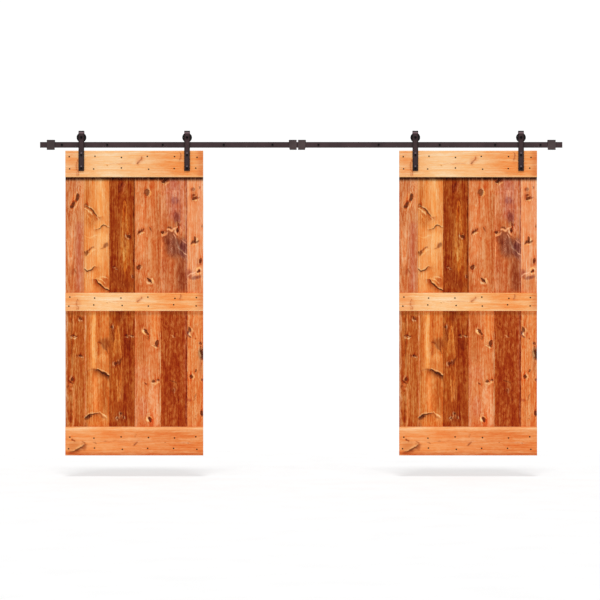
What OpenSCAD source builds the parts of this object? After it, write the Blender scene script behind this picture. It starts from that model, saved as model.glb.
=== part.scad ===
// Pair of plank barn doors that hang from bent strap hangers and roll on one flat wall track.
// Millimetres. +X is right, -Y faces the room and +Z is up. The origin lies on the wall plane,
// at the middle of the track's length and at the height of the rail's centre line.

/* [Track] */
// Length of the whole track
track_len = 3658; // [3040:1:4400]
// Height of the flat rail
rail_h = 40; // [34:1:48]
// Thickness of the flat rail
rail_t = 6; // [5:0.5:8]
// Where the two rail sections meet, measured from the middle of the track
joint_x = -27; // [-60:1:60]
// Distances of the four outer wall holes from their own end of the track
hole_from_end = [153, 471, 859, 1287]; // [120:1:1320]
// Distances from the rail joint to the wall hole on its left and the one on its right
hole_from_joint = [174, 148]; // [110:1:200]
// Length of the plate that joins the two rail sections from behind
joiner_len = 120; // [100:1:160]
// Height of the joining plate
joiner_h = 28; // [22:1:30]
// Thickness of the joining plate
joiner_t = 5; // [4:0.5:8]

/* [Wall fixings] */
// Outer diameter of the tubular wall spacers
spacer_d = 22; // [18:1:30]
// Shank diameter of the wall screws
lag_d = 8; // [6:0.5:10]
// Diameter of the wall screws' threaded length
lag_thread_d = 7.6; // [5.6:0.1:9.6]
// Threaded length of a wall screw that goes into the wall, without its tip
lag_thread_len = 37; // [25:1:60]
// Width across the flats of the wall screws' heads
lag_head_w = 13; // [10:0.5:16]
// Height of the wall screws' heads
lag_head_h = 5.5; // [4:0.5:7]

/* [Stops] */
// Height of the four stops
stop_h = 70; // [60:1:76]
// Width of an end stop
end_stop_w = 55; // [40:1:70]
// Width of a centre stop
centre_stop_w = 52; // [52:1:70]
// Distance from an end of the track to the near side of its stop
end_stop_inset = 47.5; // [20:0.5:60]
// Gap between the two centre stops
centre_stop_gap = 10; // [4:1:20]
// Thickness of a stop's front plate
stop_t = 5.8; // [4:0.1:7]
// Thickness of the rubber pad on a stop
pad_t = 3; // [2:0.5:6]

/* [Doors] */
// Width of a door
door_w = 965; // [804:1:1160]
// Height of a door
door_h = 2134; // [1780:1:2560]
// Widths of the four full planks, from left to right
plank_w = [176, 178, 182, 186]; // [150:1:200]
// How much wider the left edge plank is than half of what is left over
edge_plank_shift = 10; // [0:1:12]
// Thickness of the upright planks
plank_t = 19; // [15:0.5:25]
// Thickness of the three cross boards
board_t = 16; // [12:0.5:22]
// Height of the top cross board
top_board_h = 185; // [160:1:220]
// Height of the middle cross board
mid_board_h = 127; // [105:1:155]
// Height of the bottom cross board
bottom_board_h = 201; // [165:1:240]
// Distance from the top of the door to the middle cross board
mid_board_drop = 995; // [830:1:1190]
// How far the planks stop short of the cross boards at the top and the bottom
plank_inset = 2; // [0:0.5:6]
// Width of the small chamfers on the wood
wood_chamfer = 1.2; // [0.5:0.1:2.5]
// Gap between the rail and the top of a door
door_gap = 21; // [17:0.5:30]
// Gap between the back of a door and the wall
wall_gap = 15.5; // [12:0.5:25]
// Distance from an end of the track to the outer edge of its door
door_from_end = 177.5; // [150:0.5:320]

/* [Board screws] */
// Head diameter of the screws in the cross boards
screw_head_d = 8.5; // [7:0.1:10]
// Shank diameter of those screws
screw_d = 4; // [3:0.1:5]
// Length of those screws
screw_len = 29; // [24:0.5:32]
// Depth of the screw heads below the face of the board
screw_sink = 0.6; // [0.2:0.1:1]
// Distances of the two screw rows from a board's top and bottom edges, for each board
screw_rows = [[43, 59], [35, 38], [75, 48]]; // [25:1:90]
// Sideways distance of the screws from the middle of each plank
screw_shift = [-38, -16, -2, 2, 2, 9]; // [-40:1:40]
// How far the hand-set screws wander from their rows
screw_wander = 5; // [0:0.5:8]
// Least room between the edge of a strap and the head of a screw beside it
screw_to_strap = 3; // [1:0.5:10]

/* [Hangers] */
// Width of the bent straps
strap_w = 40; // [32:1:48]
// Thickness of the bent straps
strap_t = 6; // [4:0.5:8]
// Distance from a door's edge to the middle of its strap
strap_from_edge = 112.5; // [60:0.5:150]
// How far a strap reaches down the front of the door
strap_drop = 142.5; // [135:0.5:165]
// Distances of the two strap bolts below the top of the door
bolt_drop = [30.5, 123]; // [20:0.5:140]
// Shank diameter of the strap bolts
bolt_d = 8; // [6:0.5:10]
// Width across the flats of the strap bolts' heads and nuts
bolt_head_w = 13; // [10:0.5:17]
// Height of the strap bolts' heads
bolt_head_h = 5.3; // [4:0.1:7]
// Height of the strap bolts' nuts
bolt_nut_h = 6.5; // [5:0.1:8]
// Outer diameter of the washers behind the door
washer_d = 24; // [18:1:30]
// Thickness of the washers
washer_t = 1.6; // [1:0.1:2.5]

/* [Wheels] */
// Radius of the wheel's running surface
run_r = 31; // [25.8:0.1:37]
// How far the wheel's flanges reach past its running surface
flange_depth = 3; // [2:0.5:4]
// Width of the wheel
wheel_w = 20; // [18:0.5:24]
// Diameter of the axle bolt
axle_d = 10; // [8:0.5:12]
// Width across the flats of the axle's head and nut
axle_head_w = 17; // [15:0.5:19]
// Height of the axle's head
axle_head_h = 6.4; // [5:0.1:8]
// Height of the axle's nut
axle_nut_h = 8.4; // [6:0.1:10]
// Outer diameter of the wheel bearing
bearing_d = 30; // [28:0.5:32]
// Width of the wheel bearing
bearing_w = 9; // [7:0.5:11]
// Outer diameter of the sleeves beside the bearing
sleeve_d = 16; // [15:0.5:18]

/* [Clearances] */
// Gap between the running surface and the top of the rail
run_gap = 0.3; // [0.2:0.05:0.5]
// Sideways gap between a wheel and each leg of its strap
wheel_side_gap = 2.5; // [1.5:0.1:4]
// Gap between the top of a wheel and the bend of its strap
wheel_top_gap = 7.7; // [5:0.1:12]
// Sideways play of the rail in the wheel's groove, on each side
groove_play = 1; // [0.6:0.1:1.5]
// Radial gap around bolts in their holes
hole_gap = 0.25; // [0.2:0.05:0.5]
// Radial gap between the axle and the bearing
axle_gap = 0.05; // [0.02:0.01:0.09]
// Gap around pieces that are driven or screwed into one another
snug_gap = 0.05; // [0.03:0.01:0.1]
// Gap between the rail and the inside of a stop
stop_gap = 0.2; // [0.1:0.05:0.3]
// Gap between the bearing and the sleeves at its sides
sleeve_gap = 0.3; // [0.2:0.05:0.4]

/* [Hidden] */
$fn = 64;

// colours
BRONZE = [0.29, 0.25, 0.25];
STRAP_BROWN = [0.25, 0.18, 0.16];
BLACK_STEEL = [0.09, 0.08, 0.08];
BRIGHT_STEEL = [0.62, 0.62, 0.60];
RUBBER = [0.06, 0.06, 0.06];
BOARD_WOOD = [0.97, 0.71, 0.47];
PLANK_WOOD = [
    [0.80, 0.44, 0.21], [0.88, 0.52, 0.25], [0.67, 0.30, 0.08],
    [0.85, 0.49, 0.25], [0.72, 0.36, 0.17], [0.88, 0.53, 0.30]
];

// depths, from the wall towards the room
door_t = plank_t + board_t;
strap_inside = wheel_w + 2 * wheel_side_gap;
door_back = -wall_gap;
door_front = door_back - door_t;
plank_front = door_back - plank_t;
strap_front = door_front - strap_t;
wheel_y = door_front + strap_inside / 2;
strap_back_leg = door_front + strap_inside;
rail_front = wheel_y - rail_t / 2;
rail_back = wheel_y + rail_t / 2;
stop_front = rail_front - stop_gap - stop_t;

// heights, from the rail's centre line
door_top = -rail_h / 2 - door_gap;
axle_z = rail_h / 2 + run_gap + run_r;
flange_r = run_r + flange_depth;
strap_top = axle_z + flange_r + wheel_top_gap + strap_t;
bend_r = strap_inside / 2;
bend_z = strap_top - strap_t - bend_r;

// places along the track
door_x = track_len / 2 - door_from_end - door_w / 2;
strap_x = door_w / 2 - strap_from_edge;
outer_holes = [for (d = hole_from_end) track_len / 2 - d];
left_holes = concat([for (x = outer_holes) -x], [joint_x - hole_from_joint[0]]);
right_holes = concat(outer_holes, [joint_x + hole_from_joint[1]]);
wall_holes = concat(left_holes, right_holes);
end_stop_x = track_len / 2 - end_stop_inset - end_stop_w / 2;
centre_stop_x = (centre_stop_gap + centre_stop_w) / 2;

// planks and boards, in the door's own width and downwards from its top
function total(list, count) = count == 0 ? 0 : list[count - 1] + total(list, count - 1);
spare_w = (door_w - total(plank_w, len(plank_w))) / 2;
plank_widths = concat([spare_w + edge_plank_shift], plank_w, [spare_w - edge_plank_shift]);
PLANKS = len(plank_widths);
function plank_left(i) = -door_w / 2 + total(plank_widths, i);
boards = [
    [0, top_board_h],
    [mid_board_drop, mid_board_h],
    [door_h - bottom_board_h, bottom_board_h]
];

// how far a cut is drawn past the faces that it goes through
over_cut = 1;

// screws that hold the joining plate: shank, head, depth below the face, places and hexagon key
joint_screw_d = 6;
joint_screw_head_d = 11;
joint_screw_sink = 0.2;
joint_screw_spots = [17, 45];
joint_key_w = 4;
joint_key_depth = 2;

// grub screws in the stops: size, distance from the middle of the stop and hexagon key
set_screw_d = 6;
set_screw_spread = 12;
set_screw_key_w = 3;
set_screw_key_depth = 3;

// stops: the lips that hook behind the rail, the cut corner, the small chamfers and the pads' margin
lip_t = 3;
lip_gap = 1;
stop_corner = [4, 15];
stop_edge = 0.8;
pad_margin = 0.5;

// pointed ends of the wall screws
lag_tip_len = 8;
lag_tip_d = 1.2;

// board screws: their key, their least distance from a plank's edge, and the degrees by which their
// stray turns for each plank, board and row, across and up
screw_key_d = 3.4;
screw_key_depth = 1.4;
edge_room = 12;
stray_across = [97, 61, 150];
stray_up = [131, 77, 200];

// rounding of the straps' lower corners
strap_corner_r = 2;

// wheels: the rim's chamfer, the slope of the groove's sides and the hollow in each face
rim_chamfer = 1.5;
flange_slope = 2.5;
web_inner = 4;
web_outer = 5;
web_depth = 2;

// bearings: the lip that stops them in the wheel, their shields' depth and the width of their races
bearing_lip = 2;
shield_depth = 0.6;
bearing_ring = 2.5;

// bolts: how far they stand out of their nuts, and the cone that cuts the corners of heads and nuts
bolt_tip = 1.4;
head_chamfer_deg = 30;
head_flat_share = 0.95;

// a flat outline in X and Z, made solid between two depths
module slab(front, back) {
    translate([0, back, 0]) rotate([90, 0, 0]) linear_extrude(back - front) children();
}

// a round bar along Y
module rod(r, front, back) {
    translate([0, back, 0]) rotate([90, 0, 0]) cylinder(h = back - front, r = r);
}

// a hexagon bar along Y, with its far corners cut by a cone as on a bolt head
module hex_head(flats, front, back) {
    corner_r = flats / 2 / cos(30);
    cone_h = corner_r * 2 * tan(head_chamfer_deg);
    face_r = flats / 2 * head_flat_share;
    intersection() {
        translate([0, back, 0]) rotate([90, 0, 0])
            cylinder(h = back - front, r = corner_r, $fn = 6);
        translate([0, front + cone_h, 0]) rotate([90, 0, 0])
            cylinder(h = cone_h, r1 = face_r + corner_r * 2, r2 = face_r);
    }
}

// the room side of a hexagon nut: the same shape turned round
module hex_nut(flats, bore_r, front, back) {
    difference() {
        mirror([0, 1, 0]) hex_head(flats, -back, -front);
        rod(bore_r, front - over_cut, back + over_cut);
    }
}

// ---------------------------------------------------------------- track

module rail_section(x0, x1, holes, screws) {
    color(BRONZE) difference() {
        slab(rail_front, rail_back)
            translate([x0, -rail_h / 2]) square([x1 - x0, rail_h]);
        for (x = holes) translate([x, 0, 0])
            rod(lag_d / 2 + hole_gap, rail_front - over_cut, rail_back + over_cut);
        for (x = screws) translate([x, 0, 0]) joint_screw_form(snug_gap, over_cut);
    }
}

function joint_screws(side) = [for (d = joint_screw_spots) joint_x + side * d];

// a countersunk screw from the rail's face into the joining plate; over is drawn past its ends
module joint_screw_form(gap, over) {
    face = rail_front + joint_screw_sink;
    cone_h = (joint_screw_head_d - joint_screw_d) / 2;
    rod(joint_screw_d / 2 + gap, face, rail_back + joiner_t + over);
    translate([0, face + cone_h, 0]) rotate([90, 0, 0])
        cylinder(h = cone_h, r1 = joint_screw_d / 2 + gap, r2 = joint_screw_head_d / 2 + gap);
    if (over > 0) rod(joint_screw_head_d / 2 + gap, rail_front - over, face);
}

module joiner_plate() {
    color(BRONZE) difference() {
        slab(rail_back, rail_back + joiner_t)
            translate([joint_x - joiner_len / 2, -joiner_h / 2]) square([joiner_len, joiner_h]);
        for (side = [-1, 1], x = joint_screws(side)) translate([x, 0, 0])
            joint_screw_form(snug_gap, over_cut);
    }
}

module joiner_screws() {
    color(BLACK_STEEL) for (side = [-1, 1], x = joint_screws(side)) translate([x, 0, 0])
        difference() {
            joint_screw_form(0, 0);
            translate([0, rail_front + joint_key_depth, 0]) rotate([90, 0, 0])
                cylinder(h = joint_key_depth, d = joint_key_w, $fn = 6);
        }
}

module wall_spacers() {
    color(BRONZE) for (x = wall_holes) translate([x, 0, 0]) difference() {
        rod(spacer_d / 2, rail_back, 0);
        rod(lag_d / 2 + hole_gap, rail_back - over_cut, over_cut);
    }
}

module wall_screws() {
    color(BLACK_STEEL) for (x = wall_holes) translate([x, 0, 0]) {
        hex_head(lag_head_w, rail_front - lag_head_h, rail_front);
        rod(lag_d / 2, rail_front, 0);
        rod(lag_thread_d / 2, 0, lag_thread_len);
        translate([0, lag_thread_len, 0]) rotate([-90, 0, 0])
            cylinder(h = lag_tip_len, r1 = lag_thread_d / 2, r2 = lag_tip_d / 2);
    }
}

// ---------------------------------------------------------------- stops

// the stop's steel: a channel that slides over the rail and hooks behind both its edges
module stop_body(width, corner_side) {
    lip_z = joiner_h / 2 + lip_gap;
    slot_z = rail_h / 2 + stop_gap;
    stop_back = rail_back + stop_gap + lip_t;
    difference() {
        slab(stop_front, stop_back) stop_outline(width, corner_side);
        slab(rail_front - stop_gap, rail_back + stop_gap)
            square([width + 2 * over_cut, 2 * slot_z], center = true);
        slab(rail_back, stop_back + over_cut)
            square([width + 2 * over_cut, 2 * lip_z], center = true);
        for (x = [-set_screw_spread, set_screw_spread])
            translate([x, wheel_y, -stop_h / 2 - over_cut])
                cylinder(h = stop_h / 2, r = set_screw_d / 2 + snug_gap);
    }
}

// its outline from the front; the lower corner on the side that faces a door is cut back
module stop_outline(width, corner_side) {
    w = width / 2;
    h = stop_h / 2;
    polygon(corner_side == 0
        ? [[-w, stop_edge - h], [stop_edge - w, -h], [w - stop_edge, -h], [w, stop_edge - h],
           [w, h - stop_edge], [w - stop_edge, h], [stop_edge - w, h], [-w, h - stop_edge]]
        : [for (p = [[w, -h], [stop_corner[0] - w, -h], [-w, stop_corner[1] - h],
                     [-w, h - stop_edge], [stop_edge - w, h], [w, h]])
              [-corner_side * p[0], p[1]]]);
}

module end_stop(side) {
    color(BRONZE) translate([side * end_stop_x, 0, 0]) stop_body(end_stop_w, 0);
}

module centre_stop(side) {
    color(BRONZE) translate([joint_x + side * centre_stop_x, 0, 0])
        stop_body(centre_stop_w, side);
}

// the face of each stop that meets a wheel: its place and the way it looks
pad_faces = [
    [-end_stop_x + end_stop_w / 2, 1],
    [end_stop_x - end_stop_w / 2, -1],
    [joint_x - centre_stop_x - centre_stop_w / 2, -1],
    [joint_x + centre_stop_x + centre_stop_w / 2, 1]
];

module stop_pads() {
    low = rail_h / 2 + stop_gap + pad_margin;
    high = stop_h / 2 - stop_edge - pad_margin;
    front = stop_front + pad_margin;
    back = rail_back + stop_gap + lip_t - pad_margin;
    color(RUBBER) for (f = pad_faces)
        translate([f[0] + (f[1] < 0 ? -pad_t : 0), front, low])
            cube([pad_t, back - front, high - low]);
}

module stop_set_screws() {
    stops = [-end_stop_x, end_stop_x, joint_x - centre_stop_x, joint_x + centre_stop_x];
    len_z = stop_h / 2 - rail_h / 2 - stop_edge;
    color(BLACK_STEEL) for (x = stops, dx = [-set_screw_spread, set_screw_spread])
        translate([x + dx, wheel_y, -rail_h / 2 - len_z]) difference() {
            cylinder(h = len_z, d = set_screw_d);
            translate([0, 0, -over_cut])
                cylinder(h = set_screw_key_depth + over_cut, d = set_screw_key_w, $fn = 6);
        }
}

// ---------------------------------------------------------------- doors

// everything of one door is drawn about its middle; side is -1 for the left door, 1 for the right
module at_door(side) {
    translate([side * door_x, 0, 0]) children();
}

// a plank or board: a box whose four front edges are chamfered
module timber(left, top, width, height, front, back) {
    c = wood_chamfer;
    intersection() {
        translate([left, 0, top - height]) linear_extrude(height)
            polygon([[0, back], [0, front + c], [c, front], [width - c, front],
                     [width, front + c], [width, back]]);
        translate([left - over_cut, 0, top]) rotate([90, 0, 90]) linear_extrude(width + 2 * over_cut)
            polygon([[back, 0], [front + c, 0], [front, -c], [front, c - height],
                     [front + c, -height], [back, -height]]);
    }
}

// how far a hand-set screw strays from its row, which differs for each plank, board and row
function stray(turns, p, b, row) = screw_wander * sin(turns * [p, b, row]);

// a screw's place across the door, moved sideways to stand beside a strap that would cover it
function beside_strap(x) =
    let (room = (strap_w + screw_head_d) / 2 + screw_to_strap,
         past = abs(x) - strap_x)
    abs(past) < room ? sign(x) * (strap_x + (past < 0 ? -room : room)) : x;

// middle of a screw: its plank, its board and its row, 0 above and 1 below
function screw_spot(p, b, row) =
    let (half = plank_widths[p] / 2,
         reach = half - edge_room,
         shift = max(-reach, min(reach, screw_shift[p] + stray(stray_across, p, b, row))),
         rise = stray(stray_up, p, b, row))
    [beside_strap(plank_left(p) + half + shift),
     row == 0
        ? door_top - boards[b][0] - screw_rows[b][0] + rise
        : door_top - boards[b][0] - boards[b][1] + screw_rows[b][1] + rise];

// a countersunk wood screw; over is drawn past the face of the board, for the hole it leaves
module screw_form(gap, over) {
    face = door_front + screw_sink;
    cone_h = (screw_head_d - screw_d) / 2;
    rod(screw_d / 2 + gap, face, door_front + screw_len + gap);
    translate([0, face + cone_h, 0]) rotate([90, 0, 0])
        cylinder(h = cone_h, r1 = screw_d / 2 + gap, r2 = screw_head_d / 2 + gap);
    if (over > 0) rod(screw_head_d / 2 + gap, door_front - over, face);
}

module screw_holes(planks, board_list) {
    for (p = planks, b = board_list, row = [0, 1]) {
        spot = screw_spot(p, b, row);
        translate([spot[0], 0, spot[1]]) screw_form(snug_gap, over_cut);
    }
}

module bolt_holes(front, back) {
    for (x = [-strap_x, strap_x], drop = bolt_drop) translate([x, 0, door_top - drop])
        rod(bolt_d / 2 + hole_gap, front - over_cut, back + over_cut);
}

module plank(side, i) {
    p = i - 1;
    color(PLANK_WOOD[p]) at_door(side) difference() {
        timber(plank_left(p), door_top - plank_inset, plank_widths[p],
               door_h - 2 * plank_inset, plank_front, door_back);
        screw_holes([p], [0, 1, 2]);
        bolt_holes(plank_front, door_back);
    }
}

module board(side, b) {
    color(BOARD_WOOD) at_door(side) difference() {
        timber(-door_w / 2, door_top - boards[b][0], door_w, boards[b][1],
               door_front, plank_front);
        screw_holes([for (p = [0:PLANKS - 1]) p], [b]);
        if (b == 0) bolt_holes(door_front, plank_front);
    }
}

module board_screws(side) {
    key_floor = door_front + screw_sink + screw_key_depth;
    color(BLACK_STEEL) at_door(side) for (p = [0:PLANKS - 1], b = [0, 1, 2], row = [0, 1]) {
        spot = screw_spot(p, b, row);
        translate([spot[0], 0, spot[1]]) difference() {
            screw_form(0, 0);
            translate([0, key_floor, 0]) rotate([90, 0, 0])
                cylinder(h = screw_key_depth + over_cut, d = screw_key_d, $fn = 6);
        }
    }
}

// ---------------------------------------------------------------- hangers

// places of a door's two hangers: 1 on the left, 2 on the right
function hanger_x(i) = (i == 1 ? -1 : 1) * strap_x;

module strap(side, i) {
    color(STRAP_BROWN) at_door(side) translate([hanger_x(i), 0, 0]) difference() {
        union() {
            slab(strap_front, door_front) front_leg_outline();
            strap_bend();
            slab(strap_back_leg, strap_back_leg + strap_t) back_leg_outline();
        }
        translate([0, 0, axle_z])
            rod(axle_d / 2 + hole_gap, strap_front - over_cut, strap_back_leg + strap_t + over_cut);
        for (drop = bolt_drop) translate([0, 0, door_top - drop])
            rod(bolt_d / 2 + hole_gap, strap_front - over_cut, door_front + over_cut);
    }
}

module front_leg_outline() {
    bottom = door_top - strap_drop;
    r = strap_corner_r;
    for (x = [r - strap_w / 2, strap_w / 2 - r]) translate([x, bottom + r]) circle(r);
    translate([r - strap_w / 2, bottom]) square([strap_w - 2 * r, r]);
    translate([-strap_w / 2, bottom + r]) square([strap_w, bend_z - bottom - r]);
}

// the leg behind the wheel ends in a half circle about the axle
module back_leg_outline() {
    translate([0, axle_z]) circle(strap_w / 2);
    translate([-strap_w / 2, axle_z]) square([strap_w, bend_z - axle_z]);
}

module strap_bend() {
    outer = bend_r + strap_t;
    translate([-strap_w / 2, wheel_y, bend_z]) rotate([90, 0, 90]) linear_extrude(strap_w)
        intersection() {
            difference() {
                circle(outer);
                circle(bend_r);
            }
            translate([-outer, 0]) square([2 * outer, outer]);
        }
}

module each_bolt(side) {
    at_door(side) for (i = [1, 2], drop = bolt_drop)
        translate([hanger_x(i), 0, door_top - drop]) children();
}

module strap_bolts(side) {
    color(BLACK_STEEL) each_bolt(side) {
        hex_head(bolt_head_w, strap_front - bolt_head_h, strap_front);
        rod(bolt_d / 2, strap_front, door_back + washer_t + bolt_nut_h + bolt_tip);
    }
}

module strap_washers(side) {
    color(BRIGHT_STEEL) each_bolt(side) difference() {
        rod(washer_d / 2, door_back, door_back + washer_t);
        rod(bolt_d / 2 + hole_gap, door_back - over_cut, door_back + washer_t + over_cut);
    }
}

module strap_nuts(side) {
    color(BRIGHT_STEEL) each_bolt(side)
        hex_nut(bolt_head_w, bolt_d / 2 + snug_gap, door_back + washer_t,
                door_back + washer_t + bolt_nut_h);
}

module each_axle(side) {
    at_door(side) for (i = [1, 2]) translate([hanger_x(i), 0, axle_z]) children();
}

module axle_bolts(side) {
    color(BLACK_STEEL) each_axle(side) {
        hex_head(axle_head_w, strap_front - axle_head_h, strap_front);
        rod(axle_d / 2, strap_front, strap_back_leg + strap_t + axle_nut_h + bolt_tip);
    }
}

// tubes that hold the bearing midway between the legs
module axle_sleeves(side) {
    color(BRIGHT_STEEL) each_axle(side) difference() {
        union() {
            rod(sleeve_d / 2, door_front, wheel_y - bearing_w / 2 - sleeve_gap);
            rod(sleeve_d / 2, wheel_y + bearing_w / 2 + sleeve_gap, strap_back_leg);
        }
        rod(axle_d / 2 + hole_gap, door_front - over_cut, strap_back_leg + over_cut);
    }
}

module axle_nuts(side) {
    color(BLACK_STEEL) each_axle(side)
        hex_nut(axle_head_w, axle_d / 2 + snug_gap, strap_back_leg + strap_t,
                strap_back_leg + strap_t + axle_nut_h);
}

// ---------------------------------------------------------------- wheels

module at_axle(side, i) {
    at_door(side) translate([hanger_x(i), wheel_y, axle_z]) rotate([90, 0, 0]) children();
}

// a grooved wheel; its bearing goes in from the front against a lip at the back
module wheel(side, i) {
    half = wheel_w / 2;
    groove = rail_t / 2 + groove_play;
    pocket_r = bearing_d / 2 + snug_gap;
    color(BLACK_STEEL) at_axle(side, i) difference() {
        rotate_extrude() polygon([
            [0, -half], [flange_r - rim_chamfer, -half], [flange_r, rim_chamfer - half],
            [flange_r, -groove - flange_slope], [run_r, -groove],
            [run_r, groove], [flange_r, groove + flange_slope],
            [flange_r, half - rim_chamfer], [flange_r - rim_chamfer, half], [0, half]
        ]);
        translate([0, 0, -bearing_w / 2])
            cylinder(h = bearing_w / 2 + half + over_cut, r = pocket_r);
        translate([0, 0, -half - over_cut]) cylinder(h = wheel_w, r = pocket_r - bearing_lip);
        for (z = [-half - over_cut, half - web_depth]) translate([0, 0, z]) difference() {
            cylinder(h = web_depth + over_cut, r = run_r - web_outer);
            translate([0, 0, -over_cut])
                cylinder(h = web_depth + 3 * over_cut, r = pocket_r + web_inner);
        }
    }
}

// a sealed ball bearing as one ring, its shields set back between the two races
module bearing(side, i) {
    bore_r = axle_d / 2 + axle_gap;
    outer_r = bearing_d / 2;
    shield = outer_r - bore_r - 2 * bearing_ring;
    color(BRIGHT_STEEL) at_axle(side, i) difference() {
        translate([0, 0, -bearing_w / 2]) cylinder(h = bearing_w, r = outer_r);
        translate([0, 0, -bearing_w]) cylinder(h = 2 * bearing_w, r = bore_r);
        for (z = [-bearing_w / 2, bearing_w / 2])
            translate([0, 0, z - shield_depth]) rotate_extrude()
                translate([bore_r + bearing_ring, 0]) square([shield, 2 * shield_depth]);
    }
}

// ---------------------------------------------------------------- nodes

rail_section(-track_len / 2, joint_x, left_holes, joint_screws(-1));  // rail_left
rail_section(joint_x, track_len / 2, right_holes, joint_screws(1));  // rail_right
joiner_plate();
joiner_screws();
wall_spacers();
wall_screws();
end_stop(-1);  // end_stop_left
end_stop(1);  // end_stop_right
centre_stop(-1);  // centre_stop_left
centre_stop(1);  // centre_stop_right
stop_pads();
stop_set_screws();
plank(-1, 1);  // left_plank_1
plank(-1, 2);  // left_plank_2
plank(-1, 3);  // left_plank_3
plank(-1, 4);  // left_plank_4
plank(-1, 5);  // left_plank_5
plank(-1, 6);  // left_plank_6
board(-1, 0);  // left_top_board
board(-1, 1);  // left_mid_board
board(-1, 2);  // left_bottom_board
board_screws(-1);  // left_board_screws
strap(-1, 1);  // left_strap_1
strap(-1, 2);  // left_strap_2
strap_bolts(-1);  // left_strap_bolts
strap_washers(-1);  // left_strap_washers
strap_nuts(-1);  // left_strap_nuts
axle_bolts(-1);  // left_axle_bolts
axle_sleeves(-1);  // left_axle_sleeves
axle_nuts(-1);  // left_axle_nuts
wheel(-1, 1);  // left_wheel_1
wheel(-1, 2);  // left_wheel_2
bearing(-1, 1);  // left_bearing_1
bearing(-1, 2);  // left_bearing_2
plank(1, 1);  // right_plank_1
plank(1, 2);  // right_plank_2
plank(1, 3);  // right_plank_3
plank(1, 4);  // right_plank_4
plank(1, 5);  // right_plank_5
plank(1, 6);  // right_plank_6
board(1, 0);  // right_top_board
board(1, 1);  // right_mid_board
board(1, 2);  // right_bottom_board
board_screws(1);  // right_board_screws
strap(1, 1);  // right_strap_1
strap(1, 2);  // right_strap_2
strap_bolts(1);  // right_strap_bolts
strap_washers(1);  // right_strap_washers
strap_nuts(1);  // right_strap_nuts
axle_bolts(1);  // right_axle_bolts
axle_sleeves(1);  // right_axle_sleeves
axle_nuts(1);  // right_axle_nuts
wheel(1, 1);  // right_wheel_1
wheel(1, 2);  // right_wheel_2
bearing(1, 1);  // right_bearing_1
bearing(1, 2);  // right_bearing_2
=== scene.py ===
"""The looks of a pair of plank barn doors that roll on one wall track.

Sizes and places on a door are in millimetres: x from the middle of the door and z downwards from its
top. What Blender holds is in metres."""
import math

import bmesh
import bpy
import numpy as np
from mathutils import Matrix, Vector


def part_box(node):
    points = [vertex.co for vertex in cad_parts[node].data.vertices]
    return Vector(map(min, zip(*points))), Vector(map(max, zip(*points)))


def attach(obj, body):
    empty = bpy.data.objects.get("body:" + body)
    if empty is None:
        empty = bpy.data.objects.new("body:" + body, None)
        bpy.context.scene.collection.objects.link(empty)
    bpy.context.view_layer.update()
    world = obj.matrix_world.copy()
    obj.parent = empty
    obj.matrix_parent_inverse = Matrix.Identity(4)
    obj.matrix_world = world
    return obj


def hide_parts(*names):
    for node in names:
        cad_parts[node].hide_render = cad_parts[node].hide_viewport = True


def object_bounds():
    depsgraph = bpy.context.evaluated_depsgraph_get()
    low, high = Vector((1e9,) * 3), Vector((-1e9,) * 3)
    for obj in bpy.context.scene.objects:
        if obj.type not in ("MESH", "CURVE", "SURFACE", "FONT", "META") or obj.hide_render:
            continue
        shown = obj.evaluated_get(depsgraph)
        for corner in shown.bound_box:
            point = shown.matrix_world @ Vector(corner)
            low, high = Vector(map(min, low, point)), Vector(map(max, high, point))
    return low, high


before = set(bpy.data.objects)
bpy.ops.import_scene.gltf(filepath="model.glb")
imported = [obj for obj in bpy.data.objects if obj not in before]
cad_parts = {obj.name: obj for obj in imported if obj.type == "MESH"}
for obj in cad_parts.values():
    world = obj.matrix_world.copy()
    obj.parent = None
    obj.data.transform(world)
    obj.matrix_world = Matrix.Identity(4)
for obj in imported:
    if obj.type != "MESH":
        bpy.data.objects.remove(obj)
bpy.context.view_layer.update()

MM = 0.001
SIDES = ("left", "right")


# ------------------------------------------------------------------ colours

# PALE is also the painted highlight on one side of a knot and on the lip of a crack.
PALE = "#ffc886"
RUSSET = "#803210"
# Painted shadow under the top board.
UNDER_BOARD_SHADOW = "#2e0601"
BOTTOM_EDGE = "#cc6c3a"
KNOT_RIM = "#401808"
KNOT_HEART = "#783616"
CRACK = "#461808"
SCREW_RING_COLOUR = "#361808"
RAIL_BRONZE = "#402f31"
RAIL_RIM = "#1a0c0e"
STOP_BRONZE = "#483b3b"
STOP_RIM = "#160e0e"
STRAP_BRONZE = "#3e2c2e"
# Painted shade and light on the straps: shade at the sides and on the top bend, a highlight line, glints.
STRAP_SIDE_SHADE = "#1e0e0c"
STRAP_END = "#180402"
STRAP_BEND_SHADE = "#1a1010"
STRAP_BEND_HIGHLIGHT = "#82686e"
STRAP_GLINT = "#84767c"


def linear(colour, factor=1):
    """A #rrggbb colour, made darker or lighter by the factor, as the linear values that Blender holds."""
    c = np.array([int(colour[k:k + 2], 16) * factor for k in (1, 3, 5)]) / 255
    return tuple(np.where(c <= 0.04045, c / 12.92, ((c + 0.055) / 1.055) ** 2.4))


# ------------------------------------------------------------------ node trees

NOISE_RANGE = (0.28, 0.72)


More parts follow.
